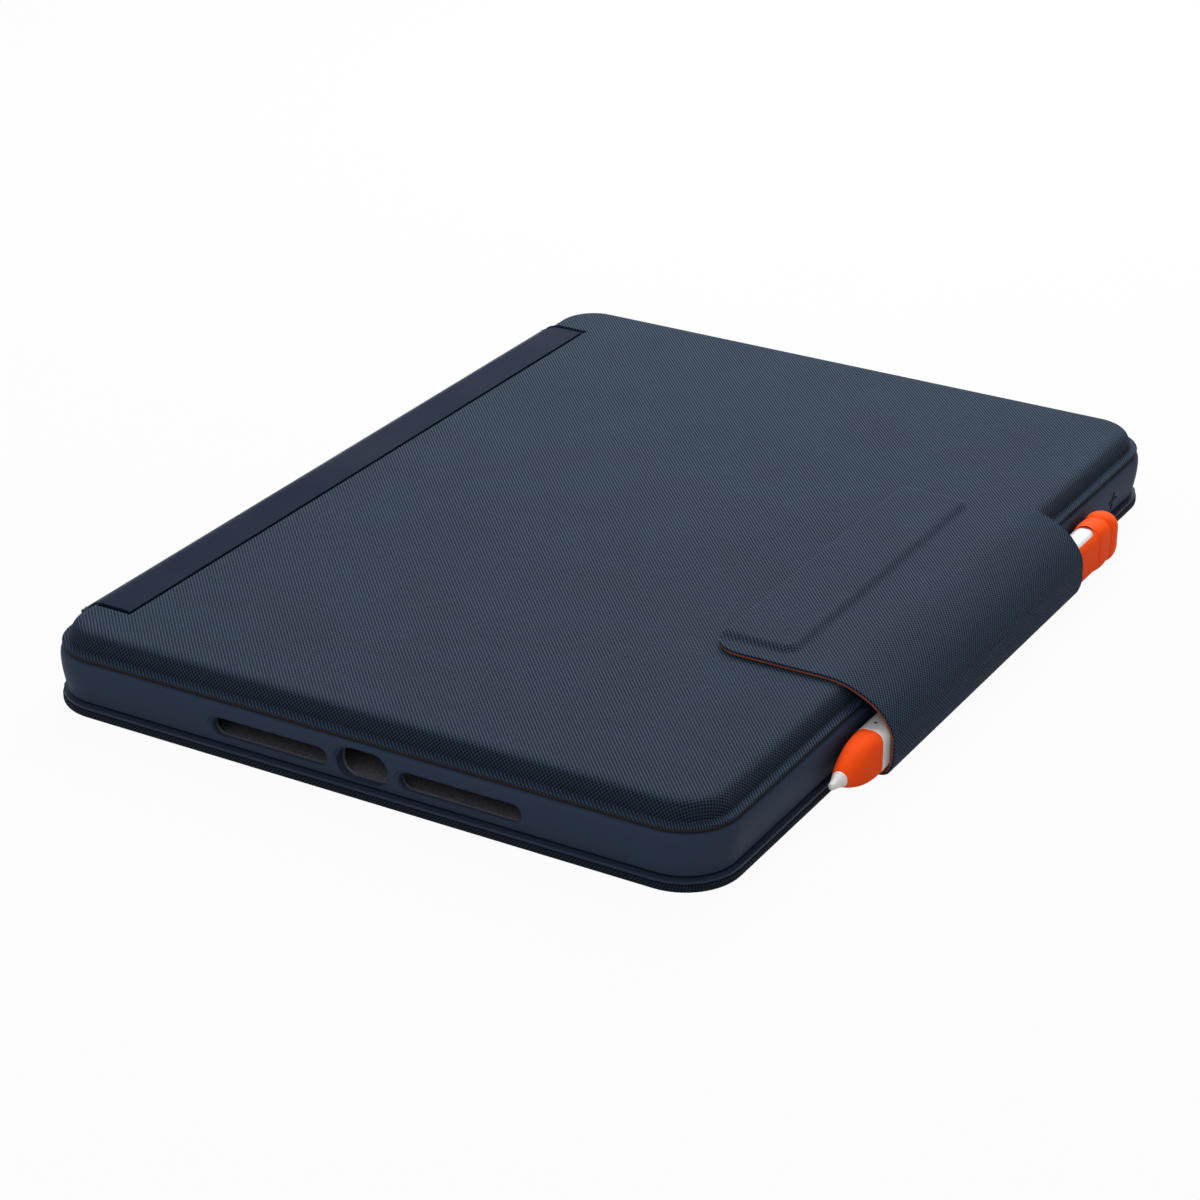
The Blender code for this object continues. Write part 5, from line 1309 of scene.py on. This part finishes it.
# %% Set out the keys
def key_places():
    """Middle, length and depth of every key, from the hinge side forwards."""
    row_width = sum(KEY_ROWS[0]) * KEY_PITCH
    back = SKIN.high_y - KEY_FIELD_BACK
    for number, row in enumerate(KEY_ROWS):
        pitch = FUNCTION_ROW if number == 0 else KEY_ROW_PITCH
        x = -row_width / 2
        for width in row:
            length = width * KEY_PITCH
            yield x + length / 2, back - pitch / 2, length - KEY_SPACE, pitch - KEY_SPACE
            x += length
        back -= pitch


SKIN_THICKNESS = 0.8 * MM
SUNK_ROOT = 0.2 * MM
skin_low, skin_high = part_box("key_skin")
KEY_ROOT = skin_high.z - SKIN_THICKNESS + SUNK_ROOT
key_tree = make_key_tree()
sizes = {}
for x, y, length, depth in key_places():
    sizes.setdefault((round(length, 6), round(depth, 6)), []).append((x, y))
skin_shape = bmesh.new()
for (length, depth), places in sizes.items():
    mesh = bpy.data.meshes.new("places")
    mesh.from_pydata([(x, y, KEY_ROOT) for x, y in places], [], [])
    group = run_tree(new_piece("keys", mesh), key_tree,
                     {"Length": length, "Depth": depth, "Rise": KEY_ROOT - skin_low.z,
                      "Finish": navy_rubber})
    skin_shape.from_mesh(group.data)
    bpy.data.objects.remove(group)
base = stack("skin_base", [(SKIN, 0.0, skin_high.z),
                           (SKIN, 0.0, skin_high.z - SKIN_THICKNESS)])
skin_shape.from_mesh(base.data)
bpy.data.objects.remove(base)
key_sheet = new_piece("key_sheet", mesh_of("key_sheet", skin_shape))
dress(key_sheet, key_rubber, "cover", ["key_skin"])
print("keys:", sum(len(places) for places in sizes.values()), "in", len(sizes), "sizes")

# %% [markdown]
# ## Hinge band
#
# One rubber band is glued to the tray and to the cover and bends on two lines, with a stiff
# link between them. One piece blended across both joints would have to follow three bodies, so
# the outer skin is drawn in two lengths that meet on the link.

# %% Path of the band
dock_low, dock_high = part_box("dock_bar")
LINK_MIDDLE = (link_low.z + link_high.z) / 2
LINK_COVER = 0.35 * MM
BAND_PROUD = 0.32 * MM
PATH_STEPS = 8


def path_lengths(path):
    """How far along a path each of its points is."""
    total = [0.0]
    for a, b in zip(path, path[1:]):
        total.append(total[-1] + (b - a).length)
    return total


def point_along(path, total, distance):
    """The point at a distance along a path, and the direction there."""
    last = len(path) - 1
    k = next((k for k in range(1, last) if distance <= total[k]), last)
    share = (distance - total[k - 1]) / (total[k] - total[k - 1])
    step = path[k] - path[k - 1]
    return path[k - 1] + share * step, step.normalized()


def band_path():
    """Outer face of the band as (y, z), from the cover's top over its rim to the dock."""
    top = cover_high.z + BAND_PROUD
    link_out = link_high.y + LINK_COVER
    knots = [(BAND_INNER_Y, top), (BAND_INNER_Y + 3 * MM, top), (88.4 * MM, top),
             (90.6 * MM, top - 0.22 * MM), (92.3 * MM, top - 0.95 * MM),
             (93.8 * MM, top - 2.3 * MM), (link_out + 0.05 * MM, link_high.z - 0.4 * MM),
             (link_out + 0.1 * MM, LINK_MIDDLE), (link_out + 0.3 * MM, link_low.z + 0.5 * MM),
             (dock_high.y - 0.05 * MM, dock_high.z - 1.3 * MM),
             (dock_high.y, (dock_low.z + dock_high.z) / 2), (dock_high.y, dock_low.z + 0.9 * MM)]
    return [Vector(point) for point in curve_through(knots, PATH_STEPS)]


band_line = band_path()
band_total = path_lengths(band_line)
BAND_SPLIT = next(total for point, total in zip(band_line, band_total)
                  if point.y < LINK_MIDDLE)
print("band:", round(band_total[-1] / MM, 1), "mm round, in two lengths that meet at",
      round(BAND_SPLIT / MM, 1), "mm")

# %% Band skins
BAND_THICKNESS = 0.75 * MM
BAND_EDGE = 0.35 * MM
BAND_STEPS = 14
BAND_STATION = 0.45 * MM


def band_section():
    """Points across the band as (x, depth): each end is a bead that stands above the face."""
    half = (BAND_X[1] - BAND_X[0]) / 2
    middle = (BAND_X[1] + BAND_X[0]) / 2
    bead = []
    for step in range(BAND_STEPS + 1):
        angle = 0.5 * pi * step / BAND_STEPS
        bead.append((half - BAND_EDGE * (1 - sin(angle)), BAND_EDGE * (1 - cos(angle))))
    return ([(middle - x, depth) for x, depth in bead]
            + [(middle + x, depth) for x, depth in reversed(bead)])


def edge_ease(reach):
    """How deep a rounded long edge lies, this far in from it."""
    if reach >= BAND_EDGE:
        return 0.0
    return BAND_EDGE - sqrt(max(BAND_EDGE ** 2 - (BAND_EDGE - reach) ** 2, 0.0))


def band_skin(name, start, end, rounded_start, rounded_end):
    """A length of the band's skin; the long edges that aren't rounded meet another length."""
    section = band_section()
    count = int((end - start) / BAND_STATION)
    rings = []
    for k in range(count + 1):
        distance = start + (end - start) * k / count
        place, along = point_along(band_line, band_total, distance)
        out = Vector((-along.y, along.x))
        ease = 0.0
        if rounded_start:
            ease = max(ease, edge_ease(distance - start))
        if rounded_end:
            ease = max(ease, edge_ease(end - distance))
        outer = [(x, place - out * max(depth, ease)) for x, depth in section]
        inner = [(x, place - out * BAND_THICKNESS) for x in (section[-1][0], section[0][0])]
        rings.append([(x, point.x, point.y) for x, point in outer + inner])
    return loft(name, rings)


upper_band = band_skin("band_upper_skin", 0.0, BAND_SPLIT, True, False)
lower_band = band_skin("band_lower_skin", BAND_SPLIT, band_total[-1], False, True)
dress(upper_band, band_rubber, None, ["hinge_strip"], 50)
dress(lower_band, band_rubber, None, [], 50)
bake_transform(upper_band)
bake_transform(lower_band)

# %% [markdown]
# ## Stylus
#
# The stylus has one section all along, a flat bar with rounded edges. The soft grip narrows to
# a small white nib, the barrel is blasted aluminium, and a rubber strap runs from a ring round
# the barrel's end to the cap that closes the charging socket. Turned round shapes would be
# spun, but this one is flat, so it is lofted through sections set out along its length.

# %% Stylus lofts
barrel_low, barrel_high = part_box("stylus_barrel")
STYLUS_Y = (barrel_low.y + barrel_high.y) / 2
STYLUS_Z = (barrel_low.z + barrel_high.z) / 2
HALF_THICK = (barrel_high.y - barrel_low.y) / 2
HALF_WIDE = (barrel_high.z - barrel_low.z) / 2
STYLUS_CORNER = 3.0 * MM


def bar(name, sections):
    """A body along X; each section is a place, two half sizes, a corner and an outward shift."""
    rings = []
    for x, thick, wide, corner, shift in sections:
        plan = centred_plan(thick, wide, min(corner, NEARLY * thick, NEARLY * wide),
                            STYLUS_Y - shift, STYLUS_Z)
        rings.append([(x, y, z) for y, z in ring_points(plan)])
    return loft(name, rings)


def straight_bar(name, low_x, high_x, grow):
    """A length of the barrel's own section, grown all round."""
    return bar(name, [(x, HALF_THICK + grow, HALF_WIDE + grow, STYLUS_CORNER + grow, 0.0)
                      for x in (low_x, high_x)])


print("stylus section:", round(2 * HALF_THICK / MM, 1), "x", round(2 * HALF_WIDE / MM, 1), "mm")

# %% Grip
NIB_BASE = 2.15 * MM
GRIP_STEPS = 30
GRIP_CURVE = 2.3
GRIP_FLATTER = 0.8
GRIP_BEVEL = 0.15 * MM
grip_low, grip_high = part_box("stylus_grip")
grip_sections = [(grip_high.x, HALF_THICK - GRIP_BEVEL, HALF_WIDE - GRIP_BEVEL, STYLUS_CORNER,
                  0.0)]
for step in range(GRIP_STEPS + 1):
    share = step / GRIP_STEPS
    ease = 1 - share ** GRIP_CURVE
    x = grip_high.x - GRIP_BEVEL - share * (grip_high.x - grip_low.x - GRIP_BEVEL)
    thick = NIB_BASE + (HALF_THICK - NIB_BASE) * ease ** GRIP_FLATTER
    wide = NIB_BASE + (HALF_WIDE - NIB_BASE) * ease
    grip_sections.append((x, thick, wide, STYLUS_CORNER, 0.0))
grip_skin = bar("grip_skin", grip_sections)
dress(grip_skin, orange_rubber, "stylus", ["stylus_grip"])

# %% Nib
NIB_TIP = 0.95 * MM
NIB_STEM = 1.2 * MM
NIB_STEPS = 8
NIB_CONE = ((0.55, 0.62), (0.85, 0.86))
nib_low, nib_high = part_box("stylus_nib")
nib_length = grip_low.x - nib_low.x
nib_sections = []
for step in range(1, NIB_STEPS + 1):
    angle = 0.5 * pi * step / NIB_STEPS
    nib_sections.append((nib_low.x + NIB_TIP * (1 - cos(angle)), NIB_TIP * sin(angle)))
nib_sections += [(nib_low.x + along * nib_length, size * NIB_BASE) for along, size in NIB_CONE]
nib_sections += [(grip_low.x - 0.25 * MM, 0.93 * NIB_BASE),
                 (grip_low.x - 0.05 * MM, 0.9 * NIB_BASE), (grip_low.x - 0.05 * MM, NIB_STEM),
                 (nib_high.x, NIB_STEM)]
nib_point = bar("nib_point", [(x, radius, radius, radius, 0.0) for x, radius in nib_sections])
dress(nib_point, white_nib, "stylus", ["stylus_nib"])

# %% Barrel
CAP_NECK = 0.8 * MM
SOCKET_HALF = (0.95 * MM, 3.3 * MM)
SOCKET_CORNER = 0.9 * MM
SOCKET_DEPTH = 6 * MM
cap_low, cap_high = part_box("stylus_cap")
neck_x = cap_low.x - 0.1 * MM
barrel_sections = ((barrel_low.x - 0.2 * MM, 0.12 * MM), (barrel_low.x - 0.08 * MM, 0.0),
                   (neck_x - 0.1 * MM, 0.0), (neck_x, 0.1 * MM), (neck_x, CAP_NECK),
                   (barrel_high.x, CAP_NECK))
barrel_body = bar("barrel_body", [(x, HALF_THICK - inset, HALF_WIDE - inset,
                                   STYLUS_CORNER - inset, 0.0) for x, inset in barrel_sections])
socket = centred_plan(*SOCKET_HALF, SOCKET_CORNER, STYLUS_Y, STYLUS_Z)
carve(barrel_body, window_tool("stylus_button", Vector((0, 1 * MM, 0))),
      prism("socket_tool", ring_points(socket), barrel_high.x - SOCKET_DEPTH,
            barrel_high.x + BEYOND, axis="X"))
dress(barrel_body, barrel_silver, "stylus", ["stylus_barrel"])

# %% [markdown]
# The strap is a thin sleeve with two tongues that run back along the barrel's edges, and it
# swells into a ring in front of the cap. It is drawn whole, a little larger than the barrel,
# and then hollowed with the barrel's own shape, so that the two always fit.

# %% Strap
OUTWARD = 0.25 * MM
RUBBER_START = 0.25 * MM
TONGUE_PROUD = 0.40 * MM
RING_PROUD = 0.85 * MM
RING_STEPS = 12
SCOOP_HALF = HALF_THICK - 0.8 * MM
SLEEVE_GAP = 0.02 * MM
SLEEVE_SPARE = 5 * MM
strap_low, strap_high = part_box("stylus_strap")
TONGUE_START = strap_low.x - 2.3 * MM
RING_START = strap_high.x - 7.0 * MM


def strap_sections():
    """Thin along the tongues, then a step up to a swelling ring that drops to the cap."""
    sections = [(TONGUE_START, 0.0), (TONGUE_START + 0.3 * MM, 0.8 * TONGUE_PROUD),
                (TONGUE_START + 0.8 * MM, TONGUE_PROUD), (RING_START - 0.1 * MM, TONGUE_PROUD)]
    for step in range(RING_STEPS + 1):
        share = step / RING_STEPS
        swell = sin(pi * (0.12 + 0.83 * share)) ** 0.6
        sections.append((RING_START + share * (strap_high.x - RING_START),
                         RUBBER_START + (RING_PROUD - RUBBER_START) * swell))
    return sections


def rubber_bar(name, sections):
    """A sleeve that grows over the barrel, but less towards the tray."""
    grown = []
    for x, grow in sections:
        shift = OUTWARD * min(grow / TONGUE_PROUD, 1.0)
        grown.append((x, HALF_THICK + grow - shift, HALF_WIDE + grow, STYLUS_CORNER + grow,
                      shift))
    return bar(name, grown)


strap_band = rubber_bar("strap_band", strap_sections())
inside = straight_bar("inside", strap_low.x - SLEEVE_SPARE, strap_high.x + SLEEVE_SPARE,
                      SLEEVE_GAP)
scoop_plan = Plan(strap_low.x - 20 * MM, RING_START + 0.3 * MM, STYLUS_Y - SCOOP_HALF,
                  STYLUS_Y + SCOOP_HALF, NEARLY * SCOOP_HALF)
scoop = prism("scoop", ring_points(scoop_plan), STYLUS_Z - 2 * HALF_WIDE,
              STYLUS_Z + 2 * HALF_WIDE)
carve(strap_band, inside, scoop)
dress(strap_band, orange_rubber, "stylus", ["stylus_strap"])

# %% Cap
CAP_PROUD = 0.95 * MM
CAP_SINK = Vector((0.80 * HALF_THICK, 0.72 * HALF_WIDE))
CAP_SWELL = 0.26
SWELL_STEPS = 6
DOME_STEPS = 18
DOME_ANGLE = 88
NECK_SPARE = 3 * MM
NECK_GAP = 0.1 * MM
cap_length = cap_high.x - cap_low.x
cap_sections = []
for step in range(SWELL_STEPS + 1):
    share = step / SWELL_STEPS
    swell = sin(0.5 * pi * share) ** 0.7
    cap_sections.append((CAP_SWELL * share, RUBBER_START + (CAP_PROUD - RUBBER_START) * swell,
                         0.0))
for step in range(1, DOME_STEPS + 1):
    angle = radians(DOME_ANGLE * step / DOME_STEPS)
    cap_sections.append((CAP_SWELL + (1 - CAP_SWELL) * sin(angle), CAP_PROUD, 1 - cos(angle)))
cap_body = bar("cap_body", [(cap_low.x + share * cap_length,
                             HALF_THICK + grow - OUTWARD - sink * CAP_SINK.x,
                             HALF_WIDE + grow - sink * CAP_SINK.y,
                             STYLUS_CORNER + grow, OUTWARD)
                            for share, grow, sink in cap_sections])
carve(cap_body, straight_bar("neck", cap_low.x - NECK_SPARE, barrel_high.x + 2 * NECK_GAP,
                             NECK_GAP - CAP_NECK))
dress(cap_body, orange_rubber, "stylus_cap", ["stylus_cap"])

# %% [markdown]
# ## Latch flap
#
# The flap is one strip of the same cloth with a thin lining under it. It starts below the tray,
# goes round the stylus and lies on the cover. Cloth simulation could lay it round the stylus,
# but the real flap is stiffened and keeps one smooth bend, so it follows a drawn path. It bends
# at two places when it is opened, so it is made in two lengths that meet on the stiff part
# between the bends.

# %% The path of the flap
FLAP_STEPS = 12
tip_low, tip_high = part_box("flap_tip_fabric")
wall_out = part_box("flap_wall_fabric")[0].y
foot_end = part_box("flap_foot_fabric")[1].y
FLAP_TOP = tip_high.z - 0.7 * MM


def flap_points():
    """Outer face of the flap as (y, z), from its root under the tray to its tip."""
    reach = barrel_high.z - barrel_low.z
    low = barrel_low.z
    high = barrel_high.z
    out = wall_out
    edge = cover_low.y
    points = ((foot_end, 0.0), (STYLUS_Y + 0.15 * reach, 0.0), (STYLUS_Y - 0.10 * reach, 0.0),
              (out + 0.12 * reach, 0.73 * low), (out + 0.01 * reach, low + 0.25 * reach),
              (out, STYLUS_Z), (out + 0.01 * reach, high - 0.24 * reach),
              (out + 0.10 * reach, high), (out + 0.28 * reach, high + 0.25 * reach),
              (edge - 0.35 * reach, FLAP_TOP - 0.32 * reach),
              (edge - 0.06 * reach, FLAP_TOP - 0.17 * reach),
              (edge + 0.28 * reach, FLAP_TOP - 0.05 * reach),
              (edge + 0.65 * reach, FLAP_TOP), (edge + reach, FLAP_TOP),
              (tip_high.y, FLAP_TOP))
    return [Vector((y, max(z, 0.0))) for y, z in curve_through(points, FLAP_STEPS)]


flap_line = flap_points()
flap_total = path_lengths(flap_line)
FLAP_LENGTH = flap_total[-1]
WALL_SPLIT = next(total for point, total in zip(flap_line, flap_total) if point.y > STYLUS_Z)
print("flap lengths along the outer face:", round(WALL_SPLIT / MM, 1), "and",
      round((FLAP_LENGTH - WALL_SPLIT) / MM, 1), "mm")

# %% [markdown]
# A stiff plate with the magnets lies between the flap's cloth and its lining and shows as a
# raised field. It could be a separate solid under the cloth, but only its relief is seen, so
# the cloth's height follows a formula: a rounded rectangle with soft slopes.

# %% Plate and outline of the flap
FLAP_SPARE = 1.8 * MM
FLAP_CORNER = 8.0 * MM
PLATE_RISE = 1.15 * MM
PLATE_SLOPE = 2.4 * MM
PLATE_TURN = 2.4 * MM
PLATE_LENGTH = 103.0 * MM
PLATE_DEPTH = 18.5 * MM
PLATE_EDGE = 2.5 * MM
TIP_SLOPE = 1.6 * MM
flap_middle = (tip_low.x + tip_high.x + FLAP_SPARE) / 2
flap_half = (tip_high.x - tip_low.x + FLAP_SPARE) / 2
plate_low_y = tip_high.y - PLATE_EDGE - PLATE_DEPTH


def plate_height(x, y):
    """How far the hidden magnet plate lifts the cloth at a place."""
    beyond_x = abs(x - flap_middle) - (PLATE_LENGTH / 2 - PLATE_SLOPE - PLATE_TURN)
    beyond_y = plate_low_y + PLATE_SLOPE + PLATE_TURN - y
    beyond = hypot(max(beyond_x, 0.0), max(beyond_y, 0.0))
    share = min(max(1 - (beyond - PLATE_TURN) / PLATE_SLOPE, 0.0), 1.0)
    tip_share = min(max((tip_high.y - y) / TIP_SLOPE, 0.0), 1.0)
    return PLATE_RISE * share * share * (3 - 2 * share) * sqrt(tip_share * (2 - tip_share))


def half_width_at(distance):
    """The flap narrows round its two tip corners."""
    left = FLAP_LENGTH - distance
    if left >= FLAP_CORNER:
        return flap_half
    return flap_half - FLAP_CORNER + sqrt(max(FLAP_CORNER ** 2 - (FLAP_CORNER - left) ** 2, 0.0))


print("plate:", round(PLATE_LENGTH / MM), "x", round(PLATE_DEPTH / MM, 1), "mm, raised",
      round(PLATE_RISE / MM, 2), "mm")

# %% Cloth strips
STATION = 0.7 * MM
TIP_STATIONS = 12
FLAT_END = 30 * MM


def strip_stations(start, end):
    """Distances along the flap: even, and closer together round the tip corners."""
    turn = FLAP_LENGTH - FLAP_CORNER
    stop = min(end, turn)
    count = int((stop - start) / STATION)
    stations = [start + (stop - start) * k / count for k in range(count + 1)]
    if end > turn:
        stations += [FLAP_LENGTH - FLAP_CORNER * (1 - sin(0.5 * pi * k / TIP_STATIONS))
                     for k in range(1, TIP_STATIONS + 1)]
    return stations


def strip_rows(distance, offset, thickness, columns, lift):
    """Rows of points across a strip: on its outer face, its inner face, and laid out flat.

    The inner face follows the plate by the share given as lift.
    """
    place, along = point_along(flap_line, flap_total, distance)
    out = Vector((-along.y, along.x))
    if distance > FLAP_LENGTH - FLAT_END:
        out = Vector((0.0, 1.0))
    half = half_width_at(distance)
    outer = []
    inner = []
    flat = []
    for column in range(columns + 1):
        x = flap_middle + half * (2 * column / columns - 1)
        raised = plate_height(x, place.x) if lift else 0.0
        above = place + out * (raised - offset)
        below = place + out * (raised * lift - offset - thickness)
        outer.append((x, above.x, above.y))
        inner.append((x, below.x, below.y))
        flat.append((x, distance))
    return outer, inner, flat


def cloth_strip(name, start, end, offset, thickness, columns, lift):
    """A closed strip of cloth along the flap's path, between two distances."""
    shape = bmesh.new()
    layer = shape.loops.layers.uv.new(WEAVE)
    rows = [strip_rows(distance, offset, thickness, columns, lift)
            for distance in strip_stations(start, end)]
    top = [[shape.verts.new(point) for point in outer] for outer, _, _ in rows]
    under = [[shape.verts.new(point) for point in inner] for _, inner, _ in rows]
    beneath = {vert for row in under for vert in row}
    places = {}
    for top_row, under_row, (_, _, flat) in zip(top, under, rows):
        places.update(zip(top_row, flat))
        places.update(zip(under_row, flat))

    def face(*verts, side=0):
        """A face; on a cut edge, whose side is -1 or 1, the threads run on round the edge."""
        for loop in shape.faces.new(verts).loops:
            x, distance = places[loop.vert]
            loop[layer].uv = (x + side * thickness * (loop.vert in beneath), distance)

    for k in range(len(rows) - 1):
        for i in range(columns):
            face(top[k][i], top[k][i + 1], top[k + 1][i + 1], top[k + 1][i])
            face(under[k][i], under[k + 1][i], under[k + 1][i + 1], under[k][i + 1])
        face(top[k][0], top[k + 1][0], under[k + 1][0], under[k][0], side=-1)
        face(top[k][-1], under[k][-1], under[k + 1][-1], top[k + 1][-1], side=1)
    for i in range(columns):
        face(top[0][i], under[0][i], under[0][i + 1], top[0][i + 1])
        face(top[-1][i], top[-1][i + 1], under[-1][i + 1], under[-1][i])
    bmesh.ops.recalc_face_normals(shape, faces=shape.faces)
    return smooth(new_piece(name, mesh_of(name, shape)), 50)


print("stations along the upper cloth:", len(strip_stations(WALL_SPLIT, FLAP_LENGTH)))

# %% The flap's cloth and lining
FLAP_CLOTH = 0.60 * MM
FLAP_LINING = 0.45 * MM
LOWER_COLUMNS = 24


def flap_layer(layer, solids, finish, offset, thickness, columns, lift):
    """One layer of the flap, cloth or lining, in its two lengths."""
    lower = cloth_strip("flap_lower_" + layer, 0.0, WALL_SPLIT, offset, thickness,
                        LOWER_COLUMNS, 0.0)
    upper = cloth_strip("flap_upper_" + layer, WALL_SPLIT, FLAP_LENGTH, offset, thickness,
                        columns, lift)
    for piece in (lower, upper):
        piece.data.materials.append(finish)
        print(piece.name, len(piece.data.polygons), "faces")
    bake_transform(lower)
    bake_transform(upper)
    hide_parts("flap_foot_" + solids, "flap_wall_" + solids)
    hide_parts("flap_tip_" + solids)
    FLAP_LENGTH - WALL_SPLIT


flap_layer("cloth", "fabric", navy_cloth, offset=0.0, thickness=FLAP_CLOTH,
           columns=130, lift=0.55)
flap_layer("lining", "lining", lining_cloth, offset=FLAP_CLOTH,
           thickness=FLAP_LINING, columns=40, lift=0.0)

# %% Close the lesson
plain_boxes = [[list(corner) for corner in box] for box in (solid_box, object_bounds())]
